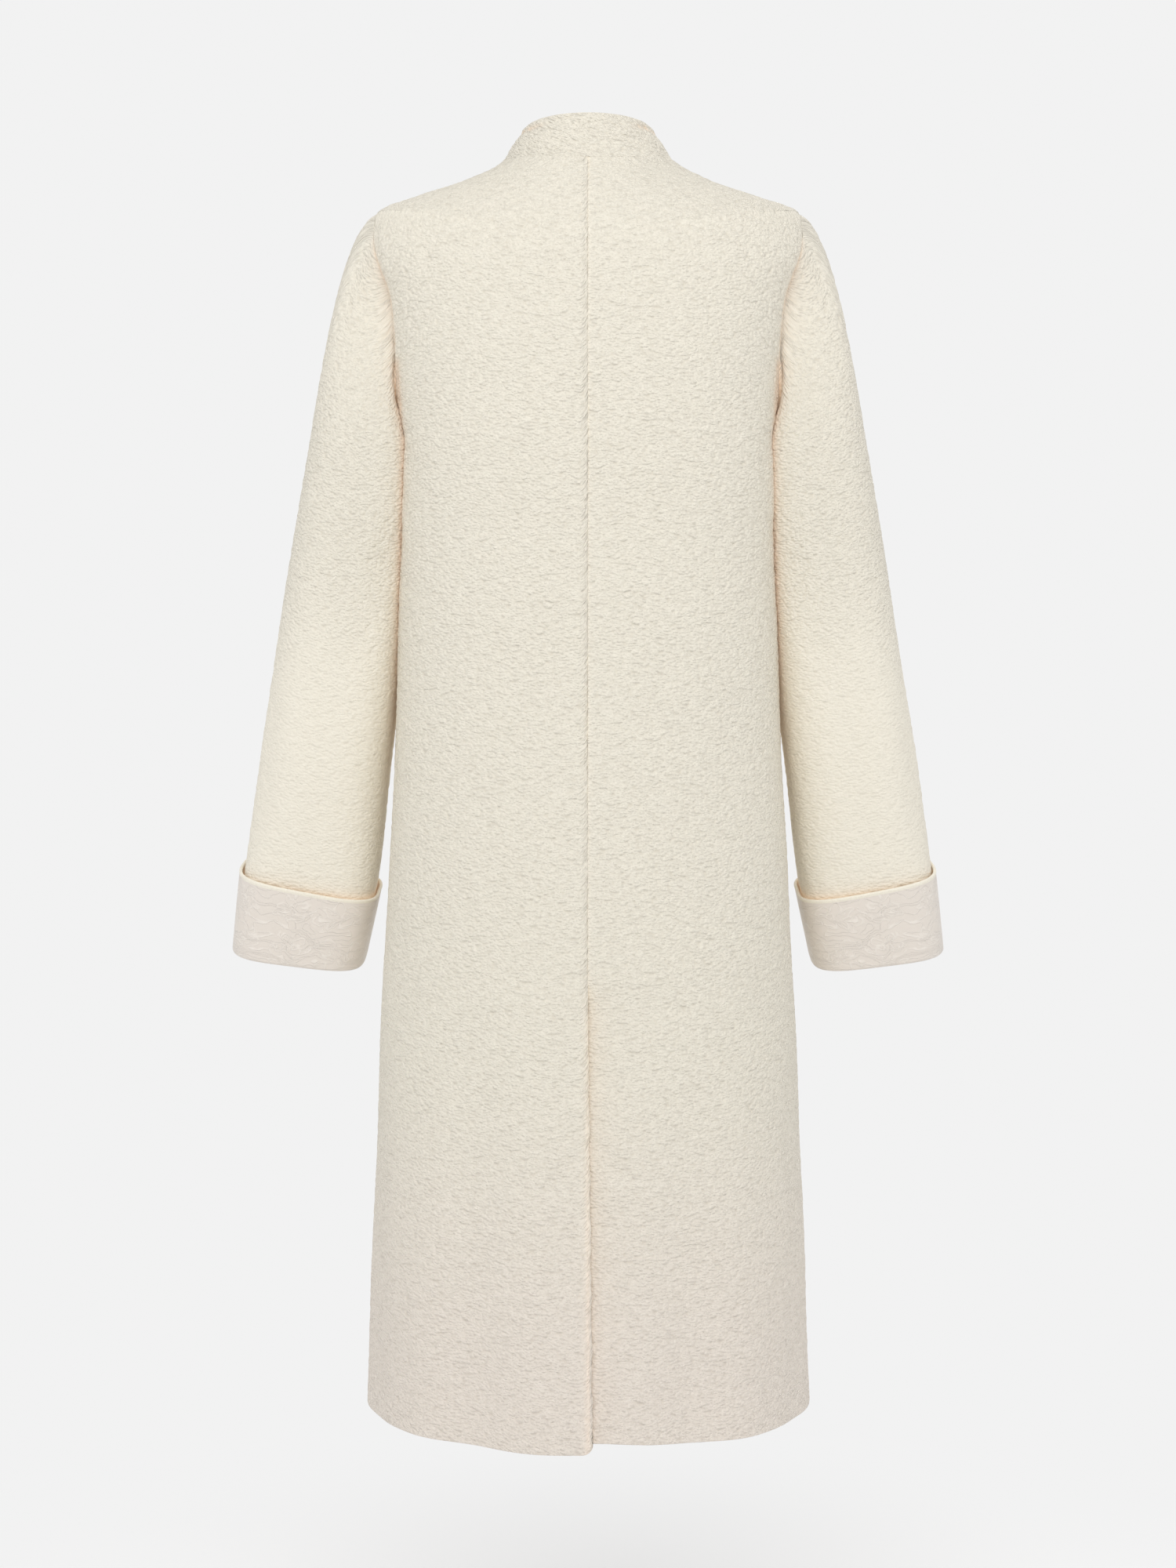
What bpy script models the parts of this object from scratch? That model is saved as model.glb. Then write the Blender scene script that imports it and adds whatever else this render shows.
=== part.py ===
"""A long coat with a stand collar, set-in sleeves, turned-back cuffs and a centre-back vent.

The coat is hollow and keeps the shape of a general figure, with the arms hanging at the sides. It is
in metres, with +Z up. The front faces -Y, and +X is the wearer's left. The origin is the middle of
the neck base, level with the side neck points, where the shoulders carry the coat.

Every body panel and the collar lie on one surface, lofted through the rings of the RINGS table. A
place on it is a level (the height of the ring at the centre back) and a girth (the distance along
the ring from the centre back). A sleeve is a loft from the armhole through the SLEEVE table.
"""

from collections import namedtuple
from functools import lru_cache
from math import cos, pi, radians, sin

import bpy
import numpy as np

MM = 0.001
MIRROR = np.array([-1.0, 1.0, 1.0])

# Driving dimensions, in millimetres.
CLOTH = 3.0  # the pebbled wool and its backing
CUFF_CLOTH = 2.2  # the satin facing on a turned-back cuff
SEAM_GAP = 0.3
ARMHOLE_GAP = 0.6
UNDERARM_GAP = 1.3  # the sleeve folds back beside the body there, so its seam needs more room
HEM_LEVEL = -1104.0
UNDERARM_LEVEL = -250.0
SHOULDER_LEVEL = -82.0  # the ring that passes through the shoulder points
NECK_LEVEL = -13.0  # the collar seam
COLLAR_TOP_LEVEL = 28.0
VENT_TOP_LEVEL = -744.0
VENT_UNDERLAP = 45.0
VENT_SLANT = 30.0  # the underlap widens over this height
VENT_SLIP = 4.0  # how far the left back's edge passes the centre at the hem
VENT_RISE = 70.0  # the two layers start to part this far above the vent
VENT_PARTING = 60.0  # and part over this height and width
OVER_WIDTH = 120.0  # how far the parting reaches into the left back
UNDER_WIDTH = 95.0  # and into the right back
OVER_SHARE = 0.55  # the left back's share of the parting
HEM_DROP = 5.0  # the upper layer of the vent hangs this much lower at its edge
HEM_DROP_WIDTH = 190.0  # and by less out to here
HEM_LIFT = 4.0  # the lower layer hangs this much higher
HEM_LIFT_WIDTH = 110.0
HEM_EASE = 160.0  # the height over which the hem drops or lifts
FRONT_OVERLAP = 30.0  # how far each front passes the centre front
FRONT_RISE = 75.0  # the right front rises over the left from this far before the centre
FRONT_EASE = 42.0  # and over this width
LAP_CLEARANCE = 1.5  # between two layers that lie on each other
ARMHOLE_BACK = 58.0  # how far the armhole reaches behind the shoulder line
ARMHOLE_FRONT = 54.0
ARMHOLE_SQUARE = 2.3  # the armhole's outline is a superellipse of this exponent
CAP_LEAVING = 0.5  # how firmly the sleeve holds its direction as it leaves the armhole
CAP_ARRIVING = 0.9  # and as it reaches its first full section
CUFF_HEIGHT = 66.0
CUFF_FOOT = 1.5  # how far the turned-up band stands off the sleeve at its foot
CUFF_FLARE = 3.0  # and at its top
CUFF_TILT = 7.0  # the band is this much higher on its outer side than on its inner side
CUFF_TURN = 12.0  # the height of the cuff's leg inside, below the end of the sleeve
SLEEVE_CLEARANCE = 2.0  # between a sleeve and the body that it presses in
PRESS_EASE = 0.5  # how fast the press fades above the underarm
PRESS_SOFTNESS = 3.0
FOLD_MARGIN = 25.0  # the folds fade out this far from the centre back and front

# How finely the cloth is divided.
PANEL_COLUMNS = 13
SKIRT_ROWS = 14
ARMHOLE_ROWS = 12
YOKE_ROWS = 5
COLLAR_ROWS = 4
CAP_ROWS = 9
SLEEVE_ROWS = 13
CROWDING = 0.3  # how much closer together the columns are towards the side
VENT_ROW_ROOM = 20.0  # no other row is this close to the vent's own

CREAM = (0.86, 0.81, 0.70, 1.0)
IVORY_SATIN = (0.80, 0.75, 0.69, 1.0)

# One row for each section of the body and collar, from the hem up, in millimetres. The three
# heights are those at the centre back, the side and the centre front. The square columns are the
# exponents of the back and front halves: 2 is an ellipse, and more is squarer.
Ring = namedtuple(
    "Ring", "back_z side_z front_z half_width side_y back_y front_y back_square front_square"
)
RINGS = [
    Ring(-1104, -1104, -1104, 197.0, -2, 160, -162, 2.15, 2.15),
    Ring(-1045, -1045, -1045, 195.0, -2, 156, -159, 2.15, 2.15),
    Ring(-905, -905, -905, 190.0, -2, 148, -152, 2.2, 2.2),
    Ring(-765, -765, -765, 184.5, -2, 140, -145, 2.2, 2.2),
    Ring(-622, -622, -622, 176.5, -2, 131, -139, 2.25, 2.2),
    Ring(-527, -527, -527, 171.8, -2, 124, -136, 2.3, 2.2),
    Ring(-440, -440, -440, 169.2, -2, 119, -136, 2.4, 2.2),
    Ring(-340, -340, -340, 169.0, -3, 119, -140, 2.5, 2.2),
    Ring(-250, -250, -250, 171.0, -3, 123, -143, 2.6, 2.2),
    Ring(-196, -188, -204, 176.0, -4, 123, -141, 2.55, 2.15),
    Ring(-150, -130, -168, 184.0, -6, 121, -137, 2.4, 2.1),
    Ring(-112, -80, -136, 199.0, -8, 117, -131, 2.2, 2.05),
    Ring(-82, -46, -112, 189.0, -10, 110, -124, 2.05, 2.0),
    Ring(-60, -33, -94, 156.0, -9, 100, -114, 2.0, 2.0),
    Ring(-36, -20, -77, 114.5, -7, 85, -98, 2.0, 2.0),
    Ring(-13, -2, -60, 77.7, -4, 68, -74, 2.1, 2.1),
    Ring(8, 13, -41, 67.5, -2, 63, -66, 2.1, 2.1),
    Ring(28, 28, -24, 55.5, 0, 60, -61, 2.1, 2.1),
]

# One row for each section of the left sleeve, from the underarm down, in millimetres. The roll
# lifts the outer side of a section, and the pitch drops its back, both in degrees.
Section = namedtuple("Section", "z outer_x inner_x centre_y half_depth roll pitch")
SLEEVE = [
    Section(-262, 249.0, 141.5, -8, 72, 0, 0),
    Section(-359, 266.0, 153.5, -13, 69, 0, 0),
    Section(-443, 280.0, 166.0, -20, 66, 2, 4),
    Section(-527, 294.5, 178.5, -31, 61, 6, 8),
    Section(-622, 309.0, 190.5, -48, 55, 8, 12),
    Section(-709, 321.3, 208.3, -66, 50, 7, 12),
]

# One row for each soft fold that runs up from the hem. The girth is where it meets the hem, the
# lean is how far it has moved towards the centre back where it fades out, and the rise is positive
# for a ridge and negative for a trough.
Fold = namedtuple("Fold", "side girth lean width rise top_level")
LEFT, RIGHT = 1, -1
FOLDS = [
    Fold(LEFT, 42, 0, 24, 2.4, -700),
    Fold(LEFT, 98, -16, 26, -4.2, -560),
    Fold(LEFT, 150, -10, 24, 2.8, -760),
    Fold(LEFT, 225, 0, 30, -3.6, -640),
    Fold(LEFT, 330, 0, 30, 3.2, -700),
    Fold(LEFT, 405, 0, 28, -3.6, -620),
    Fold(RIGHT, 44, 0, 22, 2.6, -700),
    Fold(RIGHT, 90, -14, 24, -4.2, -560),
    Fold(RIGHT, 140, 0, 24, 3.0, -760),
    Fold(RIGHT, 215, 0, 30, -3.4, -640),
    Fold(RIGHT, 320, 0, 30, 3.4, -700),
    Fold(RIGHT, 400, 0, 28, -3.8, -620),
]


def smooth(x):
    """0 below 0, 1 above 1, and an even rise between."""
    x = np.clip(x, 0.0, 1.0)
    return x * x * (3 - 2 * x)


def unit(v):
    return v / np.linalg.norm(v, axis=-1, keepdims=True)


def eased(table, key, at):
    """The row of a table at any value of its key column, by a monotone cubic through its rows."""
    rows = sorted(table, key=lambda row: getattr(row, key))
    x = np.array([getattr(row, key) for row in rows], float)
    y = np.array(rows, float)
    step = np.diff(x)[:, None]
    slope = np.diff(y, axis=0) / step
    inner = np.zeros_like(slope[1:])
    same = slope[:-1] * slope[1:] > 0
    mean = 2 * slope[:-1] * slope[1:] / np.where(same, slope[:-1] + slope[1:], 1)
    inner[same] = mean[same]
    tangent = np.vstack([slope[:1], inner, slope[-1:]])
    i = int(np.clip(np.searchsorted(x, at) - 1, 0, len(x) - 2))
    h = x[i + 1] - x[i]
    t = (at - x[i]) / h
    value = (
        (1 + 2 * t) * (1 - t) ** 2 * y[i]
        + t * (1 - t) ** 2 * h * tangent[i]
        + t * t * (3 - 2 * t) * y[i + 1]
        + t * t * (t - 1) * h * tangent[i + 1]
    )
    return type(rows[0])(*value)


# --- the body surface -------------------------------------------------------------------------


def pressed_in(x, y, z):
    """The half width of the body where the sleeve lies against it."""
    section = eased(SLEEVE, "z", float(np.clip(z, SLEEVE[-2].z, SLEEVE[0].z)))
    half_width = (section.outer_x - section.inner_x) / 2
    centre_x = (section.outer_x + section.inner_x) / 2
    across = np.clip((y - section.centre_y) / (section.half_depth + SLEEVE_CLEARANCE), -1, 1)
    limit = centre_x - (half_width + SLEEVE_CLEARANCE) * np.sqrt(1 - across**2)
    limit = limit + PRESS_EASE * max(0.0, z - UNDERARM_LEVEL)
    return -PRESS_SOFTNESS * np.logaddexp(-x / PRESS_SOFTNESS, -limit / PRESS_SOFTNESS)


def fold_height(side, girth, level, whole):
    """How far the soft folds lift the cloth at a place. It is 0 at the centre back and front."""
    total = np.zeros_like(girth)
    for fold in FOLDS:
        if fold.side != side:
            continue
        climb = (level - HEM_LEVEL) / (fold.top_level - HEM_LEVEL)
        if climb >= 1:
            continue
        strength = fold.rise * float(1 - smooth(climb))
        centre = fold.girth + fold.lean * climb
        total = total + strength * np.exp(-(((girth - centre) / fold.width) ** 2))
    edges = smooth(girth / FOLD_MARGIN) * smooth((whole - girth) / FOLD_MARGIN)
    return total * edges


class HalfRing:
    """One side's half of a ring, from the centre back to the centre front, as a fine polyline."""

    STEPS = 361

    def __init__(self, level, side):
        r = eased(RINGS, "back_z", level)
        angle = np.linspace(0, pi, self.STEPS)
        c, s = np.cos(angle), np.sin(angle)
        behind = c > 0
        depth = np.where(behind, r.back_y - r.side_y, r.side_y - r.front_y)
        square = np.where(behind, r.back_square, r.front_square)
        radius = ((s / r.half_width) ** square + (np.abs(c) / depth) ** square) ** (-1 / square)
        x, y = radius * s, r.side_y + radius * c
        end_z = np.where(behind, r.back_z, r.front_z)
        z = r.side_z + (end_z - r.side_z) * (np.abs(radius * c) / depth) ** 2
        if level < SHOULDER_LEVEL:
            aside = smooth(s / 0.3)
            x = pressed_in(x, y, r.side_z) * aside + x * (1 - aside)
        flat = np.column_stack([x, y])
        length = np.append(0, np.cumsum(np.linalg.norm(np.diff(flat, axis=0), axis=1)))
        along = np.gradient(flat, axis=0)
        out = unit(np.column_stack([-along[:, 1], along[:, 0]]))
        flat = flat + out * fold_height(side, length, level, length[-1])[:, None]
        self.points = np.column_stack([flat, z])
        self.side_y = r.side_y
        self.girth = np.append(
            0, np.cumsum(np.linalg.norm(np.diff(self.points, axis=0), axis=1))
        )
        self.whole = self.girth[-1]
        self.at_side = float(np.interp(0.5, angle / pi, self.girth))

    def place(self, girth):
        return np.array([np.interp(girth, self.girth, column) for column in self.points.T])

    def girth_at_depth(self, y):
        return float(np.interp(-y, -self.points[:, 1], self.girth))


@lru_cache(maxsize=None)
def half_ring(level, side):
    return HalfRing(level, side)


def on_body(level, side, girth):
    """The point at a girth. Past either end of its half ring it goes on along the other half."""
    ring, other = half_ring(level, side), half_ring(level, -side)
    if girth < 0:
        return other.place(-girth) * MIRROR
    if girth > ring.whole:
        return other.place(other.whole + ring.whole - girth) * MIRROR
    return ring.place(girth)


def body_normal(level, side, girth):
    """The outward normal of the left half, or of the right half seen in a mirror."""
    share = girth / half_ring(level, side).whole
    across = on_body(level, side, girth + 1.0) - on_body(level, side, girth - 1.0)
    above = on_body(level + 1.0, side, share * half_ring(level + 1.0, side).whole)
    below = on_body(level - 1.0, side, share * half_ring(level - 1.0, side).whole)
    return unit(np.cross(above - below, across))


def armhole_share(level):
    """0 at the underarm and 1 at the shoulder point."""
    return (level - UNDERARM_LEVEL) / (SHOULDER_LEVEL - UNDERARM_LEVEL)


def armhole_reach(level):
    """How far the armhole's edge lies from the shoulder line, as a share of its full depth."""
    share = armhole_share(level)
    if not 0 < share < 1:
        return 0.0
    return (1 - abs(2 * share - 1) ** ARMHOLE_SQUARE) ** (1 / ARMHOLE_SQUARE)


def back_edge(level, side):
    """The girth at which the back ends: the side seam, armhole or shoulder seam."""
    ring = half_ring(level, side)
    reach = ARMHOLE_BACK * armhole_reach(level)
    return ring.girth_at_depth(ring.side_y + reach) if reach else ring.at_side


def front_edge(level, side):
    ring = half_ring(level, side)
    reach = ARMHOLE_FRONT * armhole_reach(level)
    return ring.girth_at_depth(ring.side_y - reach) if reach else ring.at_side


def armhole_crease(level, behind):
    """How far the sleeve turns in at the seam. At the underarm it turns out and folds back."""
    share = armhole_share(level)
    at_underarm, at_middle, at_top = -150.0, (38.0 if behind else 20.0), -30.0
    low, high = smooth(share / 0.45), smooth((share - 0.45) / 0.55)
    return radians(at_underarm + (at_middle - at_underarm) * low + (at_top - at_middle) * high)


def armhole_loop():
    """The left armhole, from the shoulder point down the back and up the front.

    Each row gives the point, the body's normal, the way into the hole, the crease and the gap.
    """
    levels = list(armhole_levels())
    stops = [(level, True) for level in reversed(levels)]
    stops += [(level, False) for level in levels[1:-1]]
    edges = [back_edge(lv, LEFT) if behind else front_edge(lv, LEFT) for lv, behind in stops]
    points = np.array([on_body(lv, LEFT, g) for (lv, _), g in zip(stops, edges)])
    normals = np.array([body_normal(lv, LEFT, g) for (lv, _), g in zip(stops, edges)])
    along = unit(np.roll(points, -1, axis=0) - np.roll(points, 1, axis=0))
    into = unit(np.cross(along, normals))
    crease = np.array([armhole_crease(*stop) for stop in stops])[:, None]
    low = np.array([1 - smooth(armhole_share(lv) / 0.6) for lv, _ in stops])[:, None]
    return points, normals, into, crease, ARMHOLE_GAP + (UNDERARM_GAP - ARMHOLE_GAP) * low


def armhole_levels():
    turn = np.linspace(0, pi, ARMHOLE_ROWS + 1)
    share = (1 - np.cos(turn)) / 2
    return [round(UNDERARM_LEVEL + (SHOULDER_LEVEL - UNDERARM_LEVEL) * k, 4) for k in share]


def body_levels():
    """The levels of a body panel's rows, from the hem to the collar seam."""
    skirt = np.linspace(HEM_LEVEL, UNDERARM_LEVEL, SKIRT_ROWS + 1)[:-1]
    vent_rows = [VENT_TOP_LEVEL - VENT_SLANT, VENT_TOP_LEVEL - 0.5 * VENT_SLANT, VENT_TOP_LEVEL]
    skirt = [lv for lv in skirt if min(abs(lv - v) for v in vent_rows) > VENT_ROW_ROOM] + vent_rows
    yoke = np.linspace(SHOULDER_LEVEL, NECK_LEVEL - SEAM_GAP / 2, YOKE_ROWS + 1)[1:]
    return sorted(skirt) + armhole_levels() + list(yoke)


# --- walls of cloth ---------------------------------------------------------------------------


def material(name, colour, roughness):
    made = bpy.data.materials.new(name)
    made.use_nodes = True
    shader = made.node_tree.nodes["Principled BSDF"]
    shader.inputs["Base Color"].default_value = colour
    shader.inputs["Roughness"].default_value = roughness
    shader.inputs["Metallic"].default_value = 0.0
    return made


def wall(name, outer, inner, closed_round, cloth):
    """A closed wall between two grids of points, open at its ends and, unless it is round, sides."""
    rows, columns = outer.shape[:2]
    points = np.concatenate([outer.reshape(-1, 3), inner.reshape(-1, 3)]) * MM

    def vertex(layer, i, j):
        return layer * rows * columns + i * columns + j % columns

    steps = columns if closed_round else columns - 1
    faces = []
    for i in range(rows - 1):
        for j in range(steps):
            quad = [(i, j), (i, j + 1), (i + 1, j + 1), (i + 1, j)]
            faces.append([vertex(0, *corner) for corner in quad])
            faces.append([vertex(1, *corner) for corner in reversed(quad)])
    for j in range(steps):
        for i, first, second in ((0, j + 1, j), (rows - 1, j, j + 1)):
            ends = [(0, i, first), (0, i, second), (1, i, second), (1, i, first)]
            faces.append([vertex(*corner) for corner in ends])
    if not closed_round:
        for i in range(rows - 1):
            for j, first, second in ((0, i, i + 1), (columns - 1, i + 1, i)):
                ends = [(0, first, j), (0, second, j), (1, second, j), (1, first, j)]
                faces.append([vertex(*corner) for corner in ends])
    mesh = bpy.data.meshes.new(name)
    mesh.from_pydata(points.tolist(), [], faces)
    return finished(name, mesh, cloth)


def finished(name, mesh, cloth):
    mesh.materials.append(cloth)
    mesh.shade_smooth()
    mesh.set_sharp_from_angle(angle=radians(50))
    made = bpy.data.objects.new(name, mesh)
    coat.objects.link(made)
    return made


def mirrored(grid, side):
    """A left-hand grid moved to its side, its columns turned round to keep the outside out."""
    if side == LEFT:
        return grid
    return (grid * MIRROR)[:, ::-1]


# --- body panels and collar -------------------------------------------------------------------


def vent_offset(side, girth, level):
    """The left back lies over the right back along the vent."""
    depth = float(smooth((VENT_TOP_LEVEL + VENT_RISE - level) / VENT_PARTING))
    over = (CLOTH + LAP_CLEARANCE) * OVER_SHARE
    under = over - (CLOTH + LAP_CLEARANCE)
    if side == LEFT:
        return over * depth * float(smooth((OVER_WIDTH - girth) / VENT_PARTING))
    return under * depth * float(smooth((UNDER_WIDTH - girth) / VENT_PARTING))


def front_offset(side, girth, whole):
    """The right front lies over the left front."""
    if side == LEFT:
        return 0.0
    return (CLOTH + LAP_CLEARANCE) * float(smooth((girth - whole + FRONT_RISE) / FRONT_EASE))


def hem_drop(side, girth, level):
    """The left back sags a little towards the vent's edge, and the right back is drawn up."""
    low = float(smooth((HEM_LEVEL + HEM_EASE - level) / HEM_EASE))
    if side == RIGHT:
        return -HEM_LIFT * low * float(smooth((HEM_LIFT_WIDTH - girth) / HEM_LIFT_WIDTH))
    return HEM_DROP * low * float(smooth((HEM_DROP_WIDTH - girth) / HEM_DROP_WIDTH))


def cloth_point(side, level, girth):
    """The outer and inner point of the body's wall, in the left half's own frame."""
    ring = half_ring(level, side)
    at_seam = abs(level - NECK_LEVEL) < 1
    normal = body_normal(NECK_LEVEL if at_seam else level, side, girth)
    offset = vent_offset(side, girth, level) + front_offset(side, girth, ring.whole)
    outer = on_body(level, side, girth) + normal * offset
    outer = outer - np.array([0, 0, hem_drop(side, girth, level)])
    return outer, outer - normal * CLOTH


def vent_start(side, level):
    """Where a back starts: at the centre back, or past it on the vent's underlap."""
    if side == LEFT:
        slip = VENT_SLIP * (1 - (level - HEM_LEVEL) / (VENT_TOP_LEVEL - HEM_LEVEL))
        return -max(0.0, slip)
    share = float(np.clip((VENT_TOP_LEVEL - level) / VENT_SLANT, 0, 1))
    return -VENT_UNDERLAP * share


def spread(behind):
    """Shares of a panel's width for its columns, which are closer together towards the side."""
    share = np.linspace(0, 1, PANEL_COLUMNS + 1)
    share = share + CROWDING * share * (1 - share)
    return share if behind else 1 - share[::-1]


def body_panel(name, side, behind):
    """A back, from the centre back to the side, or a front, from the side past the centre."""
    outer, inner = [], []
    for level in body_levels():
        ring = half_ring(level, side)
        if behind:
            start, end = vent_start(side, level), back_edge(level, side)
            start, end = start + SEAM_GAP / 2, end - SEAM_GAP / 2
        else:
            start, end = front_edge(level, side), ring.whole + FRONT_OVERLAP
            start = start + SEAM_GAP / 2
        girths = start + (end - start) * spread(behind)
        pairs = [cloth_point(side, level, girth) for girth in girths]
        outer.append([pair[0] for pair in pairs])
        inner.append([pair[1] for pair in pairs])
    outer, inner = np.array(outer), np.array(inner)
    mitre_armhole(outer, inner, behind)
    # The columns are turned to run towards the centre back, which puts the outside out.
    outer, inner = outer[:, ::-1], inner[:, ::-1]
    return wall(name, mirrored(outer, side), mirrored(inner, side), False, wool)


def mitre_armhole(outer, inner, behind):
    """Turns the wall's edge at the armhole half way to the sleeve's, so that the two meet flush."""
    points, normals, into, crease, _ = armhole_loop()
    seam = normals * np.cos(crease / 2) + into * np.sin(crease / 2)
    first = body_levels().index(armhole_levels()[0])
    for step in range(ARMHOLE_ROWS + 1):
        loop = ARMHOLE_ROWS - step if behind else (ARMHOLE_ROWS + step) % len(points)
        column = PANEL_COLUMNS if behind else 0
        inner[first + step, column] = outer[first + step, column] - seam[loop] * CLOTH


def collar():
    """The stand collar, from its right end round the back to its left end."""
    levels = np.linspace(NECK_LEVEL + SEAM_GAP / 2, COLLAR_TOP_LEVEL, COLLAR_ROWS + 1)
    outer, inner = [], []
    for level in levels:
        rows = {}
        for side in (RIGHT, LEFT):
            ring = half_ring(level, side)
            back = ring.at_side * spread(True)
            front = ring.at_side + (ring.whole + FRONT_OVERLAP - ring.at_side) * spread(False)
            girths = np.append(back, front[1:])
            pairs = np.array([cloth_point(side, level, girth) for girth in girths])
            if side == RIGHT:
                pairs = pairs * MIRROR
            rows[side] = pairs
        whole = np.concatenate([rows[LEFT][::-1], rows[RIGHT][1:]])
        outer.append(whole[:, 0])
        inner.append(whole[:, 1])
    return wall("collar", np.array(outer), np.array(inner), False, wool)


# --- sleeves and cuffs ------------------------------------------------------------------------


def sleeve_frame(z):
    """The centre, outward axis, backward axis and half sizes of a sleeve section."""
    s = eased(SLEEVE, "z", z)
    roll, pitch = radians(s.roll), radians(s.pitch)
    centre = np.array([(s.outer_x + s.inner_x) / 2, s.centre_y, z])
    outward = np.array([cos(roll), 0, sin(roll)])
    backward = np.array([0, cos(pitch), -sin(pitch)])
    return centre, outward, backward, (s.outer_x - s.inner_x) / 2 / cos(roll), s.half_depth


def tube_ring(z, turn):
    """The points and normals of a sleeve section at the given angles, 0 being the outer side."""
    centre, outward, backward, half_width, half_depth = sleeve_frame(z)
    c, s = np.cos(turn)[:, None], np.sin(turn)[:, None]
    points = centre + half_width * c * outward + half_depth * s * backward
    normals = unit(c / half_width * outward + s / half_depth * backward)
    return points, normals


def sleeve_turns(loop_points):
    """The angle at which each column of the sleeve leaves the armhole, by its share of the loop."""
    steps = np.linalg.norm(np.roll(loop_points, -1, axis=0) - loop_points, axis=1)
    run = np.append(0, np.cumsum(steps))[:-1]
    half = ARMHOLE_ROWS
    behind = run[: half + 1] / run[half] * pi
    before = pi + (run[half + 1 :] - run[half]) / (steps.sum() - run[half]) * pi
    return np.append(behind, before)


def cap_row(t, start, start_way, end, end_way):
    """One ring of the sleeve's cap, along a cubic from the armhole to the first full section."""
    return (
        (1 + 2 * t) * (1 - t) ** 2 * start
        + t * (1 - t) ** 2 * start_way
        + t * t * (3 - 2 * t) * end
        + t * t * (t - 1) * end_way
    )


def sleeve_grid():
    """The outer and inner points of the left sleeve, and the turn of each of its columns."""
    points, normals, into, crease, gap = armhole_loop()
    leaving = into * np.cos(crease) - normals * np.sin(crease)
    across = into * np.cos(crease / 2) - normals * np.sin(crease / 2)
    seam = normals * np.cos(crease / 2) + into * np.sin(crease / 2)
    start = points + across * gap
    turns = sleeve_turns(points)
    top, cuff_seam = SLEEVE[0].z, SLEEVE[-1].z + CUFF_TURN + SEAM_GAP
    end, _ = tube_ring(top, turns)
    below, _ = tube_ring(top - 10, turns)
    span = np.linalg.norm(end - start, axis=1, keepdims=True)
    down = unit(below - end) * span * CAP_ARRIVING
    rows = [
        cap_row(t, start, leaving * span * CAP_LEAVING, end, down)
        for t in np.linspace(0, 1, CAP_ROWS + 1)
    ]
    heights = np.linspace(top, cuff_seam, SLEEVE_ROWS + 1)[1:]
    rows += [tube_ring(z, turns)[0] for z in heights]
    outer = np.array(rows)
    ahead = np.roll(outer, -1, axis=1) - np.roll(outer, 1, axis=1)
    down = np.gradient(outer, axis=0)
    out = unit(np.cross(down, ahead))
    out[0] = seam
    out[-1] = tube_ring(cuff_seam, turns)[1]
    return outer, outer - out * CLOTH, turns


def sleeve(name, side):
    outer, inner, _ = sleeve_grid()
    # The rows are turned to run upwards, which puts the outside out.
    return wall(name, mirrored(outer[::-1], side), mirrored(inner[::-1], side), True, wool)


def cuff_profile():
    """The cuff's section as (distance out from the sleeve, height above the fold) pairs."""
    half = CUFF_CLOTH / 2
    leg = -CLOTH / 2  # the middle of the leg inside, in line with the sleeve's wall
    low, high = CUFF_FOOT + half, CUFF_FLARE + half  # the middle of the turned-up band
    bend = (low - leg) / 2
    middle = (low + leg) / 2
    arc = np.linspace(pi, 2 * pi, 5)
    foot = bend + half
    outside = [(leg - half, CUFF_TURN)]
    outside += [(middle + (bend + half) * cos(a), foot + (bend + half) * sin(a)) for a in arc]
    band = [(low + (high - low) * k, foot + (CUFF_HEIGHT - foot) * k) for k in (0.33, 0.66)]
    outside += [(r + half, h) for r, h in band]
    edge = np.linspace(0, pi, 4)
    lip = [(high + half * cos(a), CUFF_HEIGHT - half + half * sin(a)) for a in edge]
    inside = [(r - half, h) for r, h in reversed(band)]
    inside += [(middle + (bend - half) * cos(a), foot + (bend - half) * sin(a)) for a in arc[::-1]]
    inside += [(leg + half, CUFF_TURN)]
    return outside + lip + inside


def cuff(name, side):
    """A band turned up over the end of the sleeve, joined to it by a short leg inside."""
    _, _, turns = sleeve_grid()
    outer_side = (1 + np.cos(turns))[:, None] / 2
    loops = []
    for away, height in cuff_profile():
        points, normals = tube_ring(SLEEVE[-1].z + height, turns)
        above, _ = tube_ring(SLEEVE[-1].z + height + 1, turns)
        share = max(0.0, height - CUFF_TURN) / (CUFF_HEIGHT - CUFF_TURN)
        tilt = (above - points) * CUFF_TILT * share * outer_side
        loops.append(points + tilt + normals * away)
    grid = mirrored(np.array(loops), side)
    count, columns = grid.shape[:2]
    faces = [
        [i * columns + j, i * columns + (j + 1) % columns]
        + [following * columns + (j + 1) % columns, following * columns + j]
        for i in range(count)
        for following in [(i + 1) % count]
        for j in range(columns)
    ]
    mesh = bpy.data.meshes.new(name)
    mesh.from_pydata((grid.reshape(-1, 3) * MM).tolist(), [], faces)
    return finished(name, mesh, satin)


for old in list(bpy.data.objects):
    bpy.data.objects.remove(old)
coat = bpy.data.collections.new("long_coat")
bpy.context.scene.collection.children.link(coat)
wool = material("pebbled_wool", CREAM, 0.95)
satin = material("ivory_satin", IVORY_SATIN, 0.45)

for hand, suffix in ((LEFT, "left"), (RIGHT, "right")):
    body_panel(f"back_{suffix}", hand, True)
    body_panel(f"front_{suffix}", hand, False)
    sleeve(f"sleeve_{suffix}", hand)
    cuff(f"cuff_{suffix}", hand)
collar()
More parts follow.
